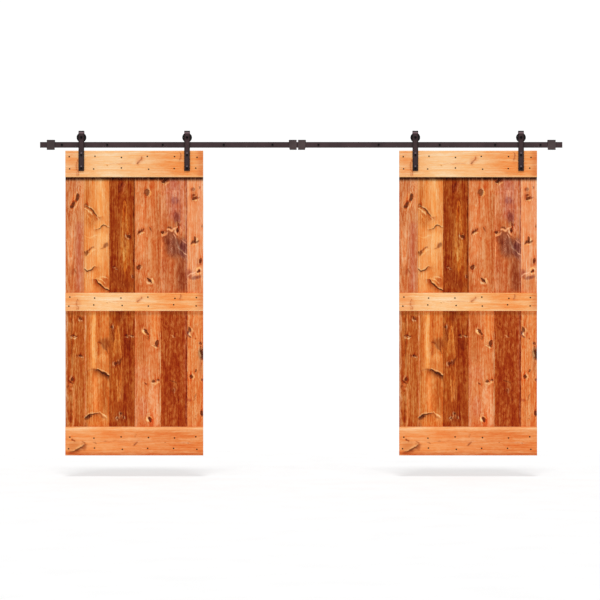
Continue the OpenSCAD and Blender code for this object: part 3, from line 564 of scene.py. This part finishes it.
class Face:
    """The fields of one timber at the points x, z. on_face is 1 for those at its front and 0 for those
    behind. Marks are drawn at wavy places, so that none has a ruled edge."""

    def __init__(self, x, z, on_face, tone):
        self.on_face = on_face
        self.x = x + 2.6 * ripple(x, z, 1.0, 46) + 1.3 * ripple(x, z, 2.0, 17)
        self.z = z + 3.4 * ripple(x, z, 3.0, 52) + 1.5 * ripple(x, z, 4.0, 19)
        self.tone = tone
        self.knot = np.full(x.shape, FAR_KNOT)
        self.crack = np.full(x.shape, FAR)
        self.screw_ring = np.full(x.shape, FAR)
        for name in ("dark", "split", "pushed_x", "pushed_z", "relief", "figure", "speckle", "swirl"):
            setattr(self, name, np.zeros(x.shape))

    def tint(self, colour, amount):
        """Moves the tone towards the colour, by an amount from 0 to 1 at each point."""
        self.tone = self.tone + (np.array(linear(colour)) - self.tone) * amount[:, None]

    def add_patch(self, x, z, half_w, half_h, turn, colour, strength):
        """A soft oval of colour."""
        d, _ = oval(self.x, self.z, x, z, half_w, half_h, turn)
        self.tint(colour, strength * (1 - smooth(d, 0.45, 1.25)))

    def add_arch(self, x, tip, feet, half_w, copies, colour, strength):
        """Growth rings cut slantwise: arches one inside the other."""
        for k in range(copies):
            size = 1 - 0.45 * k
            own_tip = tip + 0.16 * k * (feet - tip)
            t = (self.z - own_tip) / (feet - own_tip)
            off = np.abs(self.x - x) - size * half_w * np.sqrt(np.clip(t, 0, 1))
            d = np.where(t > 0, np.abs(off), np.hypot(self.x - x, self.z - own_tip))
            self.tint(colour, strength * size * bell(d, 4) * (1 - smooth(t, 0.6, 1)))

    def add_chevrons(self, x, start, end, spacing, half_w, colour):
        """A column of pointed ripples."""
        across = np.abs(self.x - x)
        phase = ((self.z - 1.4 * across) / spacing) % 1
        inside = (1 - smooth(across, 0.6 * half_w, half_w)) * smooth(self.z, start, start + spacing)
        inside = inside * (1 - smooth(self.z, end - spacing, end))
        self.tint(colour, 0.75 * inside * bell(phase - 0.5, 0.16))

    def add_stroke(self, points, half_w, colour, strength):
        """A line of colour, thin at its ends."""
        d, _, share = from_path(self.x, self.z, points)
        width = half_w * (0.45 + 0.75 * np.sin(math.pi * share))
        self.tint(colour, strength * (1 - smooth(d / width, 0.5, 1.6)))

    def add_knot(self, x, z, half_w, half_h, turn, darkness, highlight):
        """A sunken knot with a painted highlight on one side of its rim, which bends the rings round it."""
        d, direction = oval(self.x, self.z, x, z, half_w, half_h, turn)
        self.tone = self.tone ** (1 + 0.45 * darkness * bell(d, 1.9))[:, None]
        # Painted highlight on the side of the rim that faces that direction.
        towards = np.clip(np.cos(direction - math.radians(highlight)), 0, 1)
        self.tint(PALE, 0.75 * darkness * towards * bell(d - 1.65, 0.36))
        self.dark = np.where(d < self.knot, darkness, self.dark)
        self.knot = np.minimum(self.knot, d)
        near = bell(d, 2.6)
        self.pushed_x += near * half_w * np.tanh((self.x - x) / half_w)
        self.pushed_z += near * half_h * np.tanh((self.z - z) / half_h)
        self.swirl = np.maximum(self.swirl, darkness * bell(d, 3.2))
        self.relief += darkness * (0.35 * bell(d - 1.3, 0.5) - 0.6 * bell(d, 0.8))

    def add_crack(self, points, half_w, darkness, colour, reach, side):
        """A groove with painted shade on one side and a painted highlight on its lip on the other."""
        d, below, share = from_path(self.x, self.z, points)
        width = half_w * (0.4 + 0.8 * np.sin(math.pi * share))
        nearer = d / width < self.crack
        self.split = np.where(nearer, darkness, self.split)
        self.crack = np.where(nearer, d / width, self.crack)
        inside = below * side > 0
        # Painted shade beside the groove on one side.
        self.tint(colour, np.where(inside, 0.95 * bell(d, reach) * smooth(d, -2, 3), 0))
        # Painted highlight on the lip on the other side.
        lip_highlight = bell(d - 1.9 * width, 3.0)
        self.tint(PALE, np.where(inside, 0, 0.8 * darkness * lip_highlight))
        self.relief -= 1.3 * bell(d, width)

    def add_marks(self, marks):
        """Draws a timber's marks: some go through to its back, and the others are on its face only."""
        through = dict(patches=self.add_patch, arches=self.add_arch, knots=self.add_knot)
        on_top = dict(chevrons=self.add_chevrons, cracks=self.add_crack, strokes=self.add_stroke)
        for kind, draw in through.items():
            for mark in marks.get(kind, ()):
                draw(*mark)
        back_tone = self.tone
        for kind, draw in on_top.items():
            for mark in marks.get(kind, ()):
                draw(*mark)
        self.tone = back_tone + (self.tone - back_tone) * self.on_face[:, None]


def plank_face(p, x, z, on_face):
    """Fields of plank p, counted from 0 at the left."""
    plank = PLANKS[p]
    lower = smooth(z, MID_TOP, MID_BOTTOM)
    base = np.array(linear(plank["upper"])) * (1 - lower)[:, None]
    face = Face(x, z, on_face, base + np.array(linear(plank["lower"])) * lower[:, None])
    bent_x = x + wander(z, p, 2.5)
    for middle, half_w, start, end, colour in plank["streaks"]:
        across = bell(bent_x - middle, half_w)
        along = smooth(z, start - 30, start + 30) * (1 - smooth(z, end - 30, end + 30))
        face.tint(colour, 0.8 * across * along)
    face.add_marks(plank)
    heart_x, heart_depth, rise = plank["pith"]
    depth = heart_depth - rise * (z - face.pushed_z)
    face.grain = np.hypot(x - face.pushed_x - heart_x + wander(z, p + 3, 2.0), depth) / plank["ring"]
    for name in ("figure", "speckle"):
        above, below = plank[name]
        setattr(face, name, above + (below - above) * lower)
    face.figure += 0.7 * face.swirl
    # Painted shadow of the top board on the face of the planks below it.
    below_board = z - TOP_BOARD_END
    shadow = np.where(below_board < 0, 0, 0.95 * (1 - smooth(below_board, 11, 32)))
    face.tint(UNDER_BOARD_SHADOW, shadow * on_face)
    return face


def board_face(b, x, z, on_face):
    """Fields of cross board b, with z downwards from the top of the door."""
    board = BOARDS[b]
    marks = board["marks"]
    top, bottom = board["top"], board["bottom"]
    own_z = (z - top) / board["squash"]
    face = Face(x, own_z, on_face, np.tile(linear(board["base"]), (len(x), 1)))
    for middle, half_w, colour in marks["streaks"]:
        face.tint(colour, 0.85 * bell(x - middle, half_w))
    face.add_marks(marks)
    depth = 55 + 0.01 * (x - face.pushed_x)
    bent = z - top - face.pushed_z + wander(x, b + 11, 3.0)
    face.grain = np.hypot(bent - 0.4 * (bottom - top), depth) / 9
    face.figure += 0.12 + 0.4 * face.swirl
    face.speckle[:] = 0.22
    # Painted highlight line along one edge of the board.
    pale, down = board["highlight"]
    highlight_z = bottom if down is None else top + down
    face.tint(pale, 0.75 * bell(z - highlight_z, 9))
    if board["name"] == "bottom_board":
        face.tint(BOTTOM_EDGE, 0.75 * smooth(z, bottom - 46, bottom))
    for (screw_x, screw_z), r in SCREWS:
        face.screw_ring = np.minimum(face.screw_ring, np.hypot(x - screw_x, z - screw_z) - r)
    return face


# ------------------------------------------------------------------ timbers

# Spaces between grid lines along x and z on the face, and along x and z on the back. They are wider
# along the grain. The fine one is for the stretches of a plank's face that have marks.
PLANK_STEPS = (4.2, 6.5, 9.0, 12.0)
BOARD_STEPS = (6.5, 4.2, 12.0, 9.0)
FINE_STEP = 3.5
FINE_MARGIN = 8
EDGE_R = 2.0
# Depths behind the front: all that counts as face, the flat of it, and the grain's and deepest relief.
FACE_DEPTH = 6.0
FLAT_DEPTH = 0.05
RELIEF_WAVE = 0.12
RELIEF_MOST = 2.0
SHARP = math.radians(35)
ROUND_SEGMENTS = 24
SAME_SPOT = 15.0
HOLE_GAP = 0.05
BOLT_HOLE_R = 4.25
SCREW_R = 2.05


def in_scene(name, data):
    """A new object in the scene."""
    thing = bpy.data.objects.new(name, data)
    bpy.context.scene.collection.objects.link(thing)
    return thing


def to_mesh(bm, name):
    """A mesh of what bm holds, with its faces turned outwards."""
    bmesh.ops.recalc_face_normals(bm, faces=bm.faces)
    mesh = bpy.data.meshes.new(name)
    bm.to_mesh(mesh)
    bm.free()
    return mesh


def door_box(node):
    """Left, right, top, bottom, front and back of a node of the left door, as places on the door."""
    low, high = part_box(node)
    return [v / MM for v in (low.x - DOOR_X["left"], high.x - DOOR_X["left"],
                             DOOR_TOP - high.z, DOOR_TOP - low.z, low.y, high.y)]


def side_middle(side):
    """The middle of a door, in metres."""
    low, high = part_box(f"{side}_top_board")
    return (low.x + high.x) / 2


DOOR_X = {side: side_middle(side) for side in SIDES}
DOOR_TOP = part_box("left_top_board")[1].z
TOP_BOARD_END = door_box("left_top_board")[3]
MID_TOP, MID_BOTTOM = door_box("left_mid_board")[2:4]
for board in BOARDS:
    board["top"], board["bottom"] = door_box(f"left_{board['name']}")[2:4]


def grid_lines(start, end, step, fine=()):
    """Places of grid lines: a rounded edge at both ends, and closer lines within the fine stretches."""
    places = [start, start + 0.3 * EDGE_R, start + EDGE_R]
    while places[-1] < end - EDGE_R:
        here = places[-1]
        close = any(low <= here <= high for low, high in fine)
        places.append(here + (FINE_STEP if close else step))
    places = [v for v in places if v < end - EDGE_R - 0.5 * step]
    return np.array(places + [end - EDGE_R, end - 0.3 * EDGE_R, end])


def edge_depth(places, start, end):
    """How far the rounded edges lie behind the face."""
    d = np.minimum(places - start, end - places)
    inside = np.clip(1 - d / EDGE_R, 0, 1)
    return EDGE_R * (1 - np.sqrt(1 - inside ** 2))


def timber_mesh(name, box, steps, fine=()):
    """A closed timber with a fine grid of faces in front and a coarse one behind, in metres from the
    middle of the door's top. fine: the stretches along z with closer lines."""
    left, right, top, bottom, front, back = box
    bm = bmesh.new()

    def grid(step_x, step_z, fine, depth, inward):
        """Points of one side, whose edges are rounded towards the inside."""
        columns = grid_lines(left, right, step_x)
        rows = grid_lines(top, bottom, step_z, fine)
        drop_x, drop_z = edge_depth(columns, left, right), edge_depth(rows, top, bottom)
        return [[bm.verts.new((x * MM, (depth + inward * max(drop_x[i], drop_z[k])) * MM, -z * MM))
                 for k, z in enumerate(rows)] for i, x in enumerate(columns)]

    face = grid(*steps[:2], fine, front, 1)
    rear = grid(*steps[2:], (), back, -1)
    for g in (face, rear):
        for i in range(len(g) - 1):
            for k in range(len(g[0]) - 1):
                bm.faces.new((g[i][k], g[i + 1][k], g[i + 1][k + 1], g[i][k + 1]))
    for edge, far in ((face[0], rear[0]), (face[-1], rear[-1])):
        join_edges(bm, edge, far)
    for k in (0, -1):
        join_edges(bm, [c[k] for c in face], [c[k] for c in rear])
    return to_mesh(bm, name)


def join_edges(bm, edge, far):
    """The strip of triangles between two edges that run the same way, with any number of points each."""
    def share(points, k):
        """How far along the edge its point k lies, from 0 to 1."""
        if k == len(points):
            return math.inf
        return (points[k].co - points[0].co).length / (points[-1].co - points[0].co).length

    i = j = 0
    while i + j < len(edge) + len(far) - 2:
        if share(edge, i + 1) <= share(far, j + 1):
            bm.faces.new((edge[i], edge[i + 1], far[j]))
            i += 1
        else:
            bm.faces.new((edge[i], far[j + 1], far[j]))
            j += 1


def round_things(node):
    """Middles and radii of the round solids in a CAD node, as places on the left door."""
    left, top = DOOR_X["left"], DOOR_TOP
    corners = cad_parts[node].data.vertices
    spots = np.array([((v.co.x - left) / MM, (top - v.co.z) / MM) for v in corners])
    found = []
    while len(spots):
        near = np.hypot(*(spots - spots[0]).T) < SAME_SPOT
        own = spots[near]
        middle = (own.min(0) + own.max(0)) / 2
        found.append((middle, np.hypot(*(own - middle).T).max()))
        spots = spots[~near]
    return found


def skin(bm, x, z, rings):
    """Adds a closed tube round the line through x, z. A ring is a list of radius, depth and turn."""
    rows = [[bm.verts.new(((x + r * math.cos(a)) * MM, y * MM, (r * math.sin(a) - z) * MM))
             for r, y, a in ring] for ring in rings]
    count = len(rows[0])
    for one, two in zip(rows, rows[1:]):
        for k in range(count):
            j = (k + 1) % count
            bm.faces.new((one[k], one[j], two[j], two[k]))
    bm.faces.new(rows[0])
    bm.faces.new(rows[-1][::-1])


def turned(bm, x, z, profile):
    """Adds a closed turned shape; the profile is radius, depth pairs."""
    angles = [2 * math.pi * k / ROUND_SEGMENTS for k in range(ROUND_SEGMENTS)]
    skin(bm, x, z, [[(r, y, a) for a in angles] for r, y in profile])


SCREWS = round_things("left_board_screws")


def hole_cutter():
    """The holes of every board screw and strap bolt of a door, as one object to cut with."""
    front, back = door_box("left_board_screws")[4:]
    board_front = door_box("left_top_board")[4]
    door_back = door_box("left_plank_1")[5]
    bm = bmesh.new()
    for (x, z), r in SCREWS:
        head = r + HOLE_GAP
        cone_end = front + head - SCREW_R
        profile = [(head, board_front - 1), (head, front), (SCREW_R, cone_end), (SCREW_R, back + HOLE_GAP)]
        turned(bm, x, z, profile)
    for (x, z), _ in round_things("left_strap_bolts"):
        turned(bm, x, z, [(BOLT_HOLE_R, board_front - 1), (BOLT_HOLE_R, door_back + 1)])
    return in_scene("holes", to_mesh(bm, "holes"))


def cut(mesh, cutter):
    """The mesh with the holes cut out of it."""
    piece = in_scene("uncut", mesh)
    holes = piece.modifiers.new("holes", "BOOLEAN")
    holes.operation = "DIFFERENCE"
    holes.solver = "MANIFOLD"
    holes.object = cutter
    ready = piece.evaluated_get(bpy.context.evaluated_depsgraph_get())
    result = bpy.data.meshes.new_from_object(ready)
    bpy.data.objects.remove(piece)
    return result


def set_fields(mesh, front, face_of):
    """Gives every point of a timber its fields, and sinks the front face by their relief."""
    co = np.zeros(len(mesh.vertices) * 3)
    mesh.vertices.foreach_get("co", co)
    co = co.reshape(-1, 3)
    x, z = co[:, 0] / MM, -co[:, 2] / MM
    on_face = (co[:, 1] / MM < front + FACE_DEPTH).astype(float)
    face = face_of(x, z, on_face)
    at_front = co[:, 1] / MM < front + FLAT_DEPTH
    wave = RELIEF_WAVE * (np.sin(face.grain * 2 * math.pi) + 1) * np.minimum(face.figure, 1)
    inward = np.clip(wave - np.minimum(face.relief, 0), 0, RELIEF_MOST)
    co[:, 1] += np.where(at_front, inward * MM, 0)
    mesh.vertices.foreach_set("co", co.ravel())
    for name in ("knot", "dark", "crack", "split", "screw_ring", "grain", "figure", "speckle"):
        values = np.array(getattr(face, name), np.float32)
        if name == "split":
            values *= on_face.astype(np.float32)
        mesh.attributes.new(name, "FLOAT", "POINT").data.foreach_set("value", values)
    tone = np.ones((len(x), 4), np.float32)
    tone[:, :3] = np.clip(face.tone, 0.0, 1.0)
    mesh.attributes.new("tone", "FLOAT_COLOR", "POINT").data.foreach_set("color", tone.ravel())


def finish_mesh(mesh, material):
    """One material, and smooth shading except at sharp edges."""
    mesh.materials.clear()
    mesh.materials.append(material)
    mesh.polygons.foreach_set("use_smooth", [True] * len(mesh.polygons))
    mesh.set_sharp_from_angle(angle=SHARP)


def place_timber(mesh, node):
    """Puts a timber on both doors, where it stands for the CAD node."""
    for side in SIDES:
        own = mesh if side == "left" else mesh.copy()
        own.name = f"{side}_{node}_timber"
        piece = in_scene(own.name, own)
        piece.location = (DOOR_X[side], 0, DOOR_TOP)
        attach(piece, f"{side}_door")
        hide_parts(f"{side}_{node}")


def make_timbers(plank_material, board_material):
    """The planks and boards of both doors."""
    cutter = hole_cutter()
    for p, plank in enumerate(PLANKS):
        node = f"plank_{p + 1}"
        box = door_box(f"left_{node}")
        fine = [(knot[1] - 2 * knot[3], knot[1] + 2 * knot[3]) for knot in plank["knots"]]
        for mark in plank["strokes"] + plank.get("cracks", []):
            heights = [z for _, z in mark[0]]
            fine.append((min(heights) - FINE_MARGIN, max(heights) + FINE_MARGIN))
        mesh = cut(timber_mesh(node, box, PLANK_STEPS, fine), cutter)
        set_fields(mesh, box[4], lambda *points: plank_face(p, *points))
        finish_mesh(mesh, plank_material)
        place_timber(mesh, node)
    for b, board in enumerate(BOARDS):
        box = door_box(f"left_{board['name']}")
        mesh = cut(timber_mesh(board["name"], box, BOARD_STEPS), cutter)
        set_fields(mesh, box[4], lambda *points: board_face(b, *points))
        finish_mesh(mesh, board_material)
        place_timber(mesh, board["name"])
    bpy.data.objects.remove(cutter)


# How far the darker ring round a screw reaches, and the least power that a tone is raised to.
SCREW_RING_REACH = 2.6
STAIN_LEAST = 0.68


def wood(name, along_x):
    """Stained wood. Its fields say where rings, knots and cracks are, and noise gives the fibres."""
    material, n, shader = new_material(name, shine=0.07)
    place = n.place()

    def fibre(scale, stretch, detail=3.0, distortion=0.0):
        """Noise that is so many times longer along the grain than across it."""
        factors = (1 / stretch, 1, 1) if along_x else (1, 1, 1 / stretch)
        return n.noise(n.scaled(place, factors), scale, detail, distortion=distortion)

    hair = fibre(900, 40)
    streak = fibre(130, 22, 4.0)
    broad = fibre(34, 9)
    blotch = fibre(62, 2.4, 5.0, 0.6)
    curl = n.noise(place, 105, 3.0)
    fleck = fibre(330, 7, 2.0)
    tone = n.attribute("tone", "Color")
    figure = n.attribute("figure")
    speckle = n.attribute("speckle")
    knot = n.plus(n.attribute("knot"), n.times(curl, 0.22), n.times(fleck, 0.1))
    dark = n.attribute("dark")
    crack = n.plus(n.attribute("crack"), n.times(fleck, 0.12), n.times(curl, 0.2))

    ring = n.math("FRACT", n.plus(n.attribute("grain"), n.times(streak, 0.16), n.times(curl, 0.1)))
    late = n.times(n.spread(ring, 0.35, 0.86), n.spread(ring, 0.86, 1.0, 1.0, 0.0))
    near_knot = n.spread(knot, 1.0, 3.0, 1.0, 0.0)
    knot_rings = n.times(n.math("SINE", n.times(knot, 8.0)), near_knot, dark)
    flecks = n.spread(fleck, 0.25, 1.0)

    stain = n.plus(
        1.02, n.times(hair, 0.14), n.times(streak, 0.26), n.times(broad, 0.24),
        n.times(blotch, speckle, 0.5), n.times(flecks, speckle, 0.8),
        n.times(n.plus(late, -0.3), figure, 0.7), n.times(knot_rings, 0.26))
    colour = n.add("ShaderNodeGamma", {0: tone, 1: n.math("MAXIMUM", stain, STAIN_LEAST)}).outputs[0]
    core = n.times(n.spread(knot, 0.65, 1.35, 1.0, 0.0), dark)
    heart = n.spread(n.plus(curl, n.times(knot, -0.9)), -1.1, 0.3)
    colour = n.mix(n.times(core, 0.9), colour, n.mix(heart, linear(KNOT_RIM), linear(KNOT_HEART)))
    gap = n.times(n.spread(crack, 0.5, 1.5, 1.0, 0.0), n.attribute("split"))
    colour = n.mix(gap, colour, linear(CRACK))
    screw_ring = n.spread(n.plus(n.attribute("screw_ring"), n.times(fleck, 0.3)), 0.4, SCREW_RING_REACH, 0.9, 0.0)
    colour = n.mix(screw_ring, colour, linear(SCREW_RING_COLOUR))

    height = n.plus(n.times(hair, 0.25), n.times(streak, 0.2), n.times(late, figure, -0.35),
                    n.times(flecks, -0.5), n.times(core, -0.6))
    roughness = n.plus(0.56, n.times(blotch, 0.05), n.times(late, -0.06), n.times(gap, 0.2))
    finish_material(n, shader, colour, roughness, height, 0.0003)
    return material


# ------------------------------------------------------------------ metals and rubber

# In metres.
RIM_W = 0.006
# Where the painted highlight line lies below a strap's top, and where the painted glints lie and how wide.
BEND_HIGHLIGHT_DOWN = 0.0155
GLINT_UP = 0.0135
GLINT_R = 0.0085


def powder_coat(name, colour, paint_on=None, grain=2400):
    """Fine orange-peel coating with faint cloudiness; paint_on may add its own shading to the colour."""
    material, n, shader = new_material(name, shine=0.25)
    place = n.place()
    cloud = n.noise(place, 9, 4.0)
    speck = n.noise(place, grain, 2.0)
    scuff = n.noise(n.scaled(place, (1, 1, 0.2)), 160, 4.0, 0.7)
    shade = n.mix(n.spread(cloud, -1, 1), linear(colour, 0.9), linear(colour, 1.1))
    shade = n.mix(n.spread(scuff, 0.5, 1.0, 0.0, 0.35), shade, linear(colour, 1.35))
    if paint_on:
        shade = paint_on(n, place, shade)
    roughness = n.plus(0.55, n.times(speck, 0.05), n.times(scuff, -0.05))
    finish_material(n, shader, shade, roughness, n.plus(speck, n.times(cloud, 0.4)), 0.00008)
    return material


def dark_rims(height, colour):
    """Darker strips along the long edges of a bar of that half height on the rail's middle."""
    def paint_on(n, place, shade):
        """Adds the strips to the shade."""
        up = n.math("ABSOLUTE", n.add("ShaderNodeSeparateXYZ", {0: place}).outputs[2])
        return n.mix(n.spread(up, height - RIM_W, height - 0.3 * RIM_W, 0.0, 0.9), shade, linear(colour))
    return paint_on


def strap_shading(n, place, shade):
    """Painted shade at the sides and on the bend at the top, a painted highlight line under the bend,
    a painted glint above each bolt, and a darker lower end.
    """
    low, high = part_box("left_strap_1")
    middles = [sum(corner.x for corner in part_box(strap)) / 2 for strap in on_doors("strap_1", "strap_2")]
    x, _, z = n.add("ShaderNodeSeparateXYZ", {0: place}).outputs
    off = n.gap(x, middles[0])
    for middle in middles[1:]:
        off = n.math("MINIMUM", off, n.gap(x, middle))
    half_w = (high.x - low.x) / 2
    # Painted shade towards both long sides, which leaves the middle lighter.
    shade = n.mix(n.spread(off, 0.35 * half_w, 0.9 * half_w, 0.0, 0.8), shade, linear(STRAP_SIDE_SHADE))
    shade = n.mix(n.spread(z, low.z, low.z + 0.06, 0.8, 0.0), shade, linear(STRAP_END))
    # Painted shade on the bend at the top, and a painted highlight line just under it.
    shade = n.mix(n.spread(z, high.z - 0.012, high.z - 0.009, 0.0, 0.9), shade, linear(STRAP_BEND_SHADE))
    from_highlight = n.gap(z, high.z - BEND_HIGHLIGHT_DOWN)
    shade = n.mix(n.spread(from_highlight, 0.002, 0.005, 0.9, 0.0), shade, linear(STRAP_BEND_HIGHLIGHT))
    # A painted glint above each bolt.
    for bolt_z in sorted({round(DOOR_TOP - spot[1] * MM, 4) for spot, _ in round_things("left_strap_bolts")}):
        above = n.gap(z, bolt_z + GLINT_UP)
        reach = n.math("SQRT", n.plus(n.times(above, above), n.times(off, off)))
        shade = n.mix(n.spread(reach, 0.0, GLINT_R, 0.85, 0.0), shade, linear(STRAP_GLINT))
    return shade


def bare_metal(name, colour, roughness, metallic=1.0, shine=0.5):
    """Plated or blackened steel with fine scratches and a little mottling."""
    material, n, shader = new_material(name, metallic=metallic, shine=shine)
    place = n.place()
    mottle = n.noise(place, 140, 4.0)
    scratch = n.noise(n.scaled(place, (1, 0.15, 0.4)), 700, 3.0, 0.7)
    shade = n.mix(n.spread(mottle, -1, 1), linear(colour, 0.85), linear(colour, 1.12))
    rough = n.plus(roughness, n.times(mottle, 0.06), n.times(scratch, 0.05))
    finish_material(n, shader, shade, rough, n.plus(scratch, mottle), 0.00005)
    return material


def rubber(name):
    """Matte and a little dusty."""
    material, n, shader = new_material(name)
    place = n.place()
    grain = n.noise(place, 1500, 3.0)
    dust = n.noise(place, 60, 4.0)
    shade = n.mix(n.spread(dust, -0.2, 1.0), linear("#161515"), linear("#2c2a29"))
    finish_material(n, shader, shade, n.plus(0.82, n.times(dust, 0.06)), grain, 0.0001)
    return material


def dress(nodes, material):
    """Gives CAD nodes a material in their own slots."""
    for name in nodes:
        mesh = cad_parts[name].data
        for k in range(len(mesh.materials)):
            mesh.materials[k] = material


def on_doors(*names):
    """The nodes of those names on both doors."""
    return [f"{side}_{name}" for side in SIDES for name in names]


def make_metals():
    """Gives the CAD's own metal and rubber pieces their looks."""
    rail = powder_coat("rail_bronze", RAIL_BRONZE, dark_rims(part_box("rail_left")[1].z, RAIL_RIM))
    stop = powder_coat("stop_bronze", STOP_BRONZE, dark_rims(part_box("end_stop_left")[1].z, STOP_RIM))
    strap = powder_coat("strap_bronze", STRAP_BRONZE, strap_shading)
    black = bare_metal("black_steel", "#090606", 0.42, metallic=0.0, shine=0.12)
    wheel = powder_coat("wheel_black", "#0c0707", grain=1800)
    bright = bare_metal("bright_steel", "#babab6", 0.32)
    dress(["rail_left", "rail_right", "joiner_plate", "wall_spacers"], rail)
    dress(["end_stop_left", "end_stop_right", "centre_stop_left", "centre_stop_right"], stop)
    dress(on_doors("strap_1", "strap_2"), strap)
    dress(["joiner_screws", "stop_set_screws"], black)
    dress(on_doors("board_screws", "strap_bolts", "axle_bolts", "axle_nuts"), black)
    dress(on_doors("wheel_1", "wheel_2"), wheel)
    dress(on_doors("strap_washers", "strap_nuts", "axle_sleeves", "bearing_1", "bearing_2"), bright)
    dress(["stop_pads"], rubber("rubber_pad"))
    make_wall_screws(black)


# ------------------------------------------------------------------ threads of the wall screws

# Depths are from the front of the wall, where y is 0.
SCREW_CORE = 2.9
SCREW_CREST = 3.95
CORE_END = 37.0
SCREW_END = 45.0
THREAD_START = 0.8
THREAD_END = 44.1
THREAD_PITCH = 3.2
THREAD_HALF_W = 0.75
THREAD_STEPS = 16


def core_radius(y):
    """Radius of a wall screw's core at a depth in the wall: even, then down to the tip."""
    return SCREW_CORE * min(1, (SCREW_END + 0.6 - y) / (SCREW_END + 0.6 - CORE_END))


def wind_thread(bm, x, z):
    """Adds the thread of the wall screw at x, z: a three-cornered strip wound round its core."""
    rings = []
    for k in range(int((THREAD_END - THREAD_START) / THREAD_PITCH * THREAD_STEPS)):
        y = THREAD_START + k * THREAD_PITCH / THREAD_STEPS
        turn = 2 * math.pi * k / THREAD_STEPS
        core = core_radius(y)
        crest = core * (1 + (SCREW_CREST / SCREW_CORE - 1) * min(1, k / THREAD_STEPS))
        foot = core - 0.3
        rings.append([(foot, y - THREAD_HALF_W, turn), (crest, y, turn), (foot, y + THREAD_HALF_W, turn)])
    skin(bm, x, z, rings)


def make_wall_screws(material):
    """The CAD's heads and shanks with a thinner core and a real thread in place of the plain ends."""
    bm = bmesh.new()
    bm.from_mesh(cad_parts["wall_screws"].data)
    bmesh.ops.remove_doubles(bm, verts=bm.verts, dist=1e-6)
    plain = [v for v in bm.verts if v.co.y > 0.5 * MM]
    bmesh.ops.delete(bm, geom=plain, context="VERTS")
    bmesh.ops.holes_fill(bm, edges=[e for e in bm.edges if e.is_boundary])
    for (x, z), _ in round_things("wall_screws"):
        x += DOOR_X["left"] / MM
        z -= DOOR_TOP / MM
        turned(bm, x, z, [(SCREW_CORE, -0.5), (SCREW_CORE, CORE_END), (0.35, SCREW_END)])
        wind_thread(bm, x, z)
    mesh = to_mesh(bm, "wall_screws_threaded")
    finish_mesh(mesh, material)
    screws = in_scene("wall_screws_threaded", mesh)
    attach(screws, "track")
    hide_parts("wall_screws")


# ------------------------------------------------------------------ studio

AMBIENT = 0.52
BACKDROP = 1.05
KEY_STRENGTH = 1.8
KEY_ELEVATION = 62
KEY_SOFTNESS = 14
FLOOR_DROP = 0.15
FLOOR_GLOW = 0.58
LENS = 200
SENSOR = 36
VIEW_WIDTH = 4.2
VIEW_X = -0.0084
VIEW_Z = -1.0866


def make_floor():
    """A pale floor below the doors, which glows a little so that it is as white as the page."""
    low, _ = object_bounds()
    mesh = bpy.data.meshes.new("studio_floor")
    z = low.z - FLOOR_DROP
    corners = [(-9, -13, z), (9, -13, z), (9, 4, z), (-9, 4, z)]
    mesh.from_pydata(corners, [], [(0, 1, 2, 3)])
    floor = in_scene("studio_floor", mesh)
    material, n, shader = new_material("floor_white")
    place = n.place()
    shade = n.mix(n.spread(n.noise(place, 3, 3.0), -1, 1), (0.38, 0.38, 0.38), (0.42, 0.42, 0.42))
    shader.inputs["Emission Color"].default_value = (1, 1, 1, 1)
    shader.inputs["Emission Strength"].default_value = FLOOR_GLOW
    finish_material(n, shader, shade, 0.9, n.noise(place, 300, 2.0), 0.0001)
    mesh.materials.append(material)


def make_world():
    """White behind the object, and a softer white that lights it."""
    scene = bpy.context.scene
    scene.world = bpy.data.worlds.new("studio")
    scene.world.use_nodes = True
    tree = scene.world.node_tree
    n = Nodes(tree)
    background = tree.nodes["Background"]
    background.inputs[0].default_value = (1, 1, 1, 1)
    seen = n.add("ShaderNodeLightPath").outputs["Is Camera Ray"]
    n.put(background.inputs[1], n.spread(seen, 0.0, 1.0, AMBIENT, BACKDROP, smooth=False))


def make_lights():
    """One wide, soft light from high in front."""
    sun = bpy.data.lights.new("key", "SUN")
    sun.energy = KEY_STRENGTH
    sun.angle = math.radians(KEY_SOFTNESS)
    key = in_scene("key", sun)
    key.rotation_euler = (math.radians(90 - KEY_ELEVATION), 0, 0)


def make_camera():
    """A long lens straight in front, level with the middle of the doors and the track together."""
    camera = bpy.data.cameras.new("camera")
    camera.lens = LENS
    camera.sensor_width = SENSOR
    camera.clip_end = 100
    eye = in_scene("camera", camera)
    face_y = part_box("left_top_board")[0].y
    eye.location = (VIEW_X, face_y - VIEW_WIDTH * LENS / SENSOR, VIEW_Z)
    eye.rotation_euler = (math.radians(90), 0, 0)
    bpy.context.scene.camera = eye


make_camera()
make_world()
make_lights()
make_floor()
make_metals()
make_timbers(wood("plank_wood", False), wood("board_wood", True))

scene = bpy.context.scene
scene.view_settings.view_transform = "Standard"
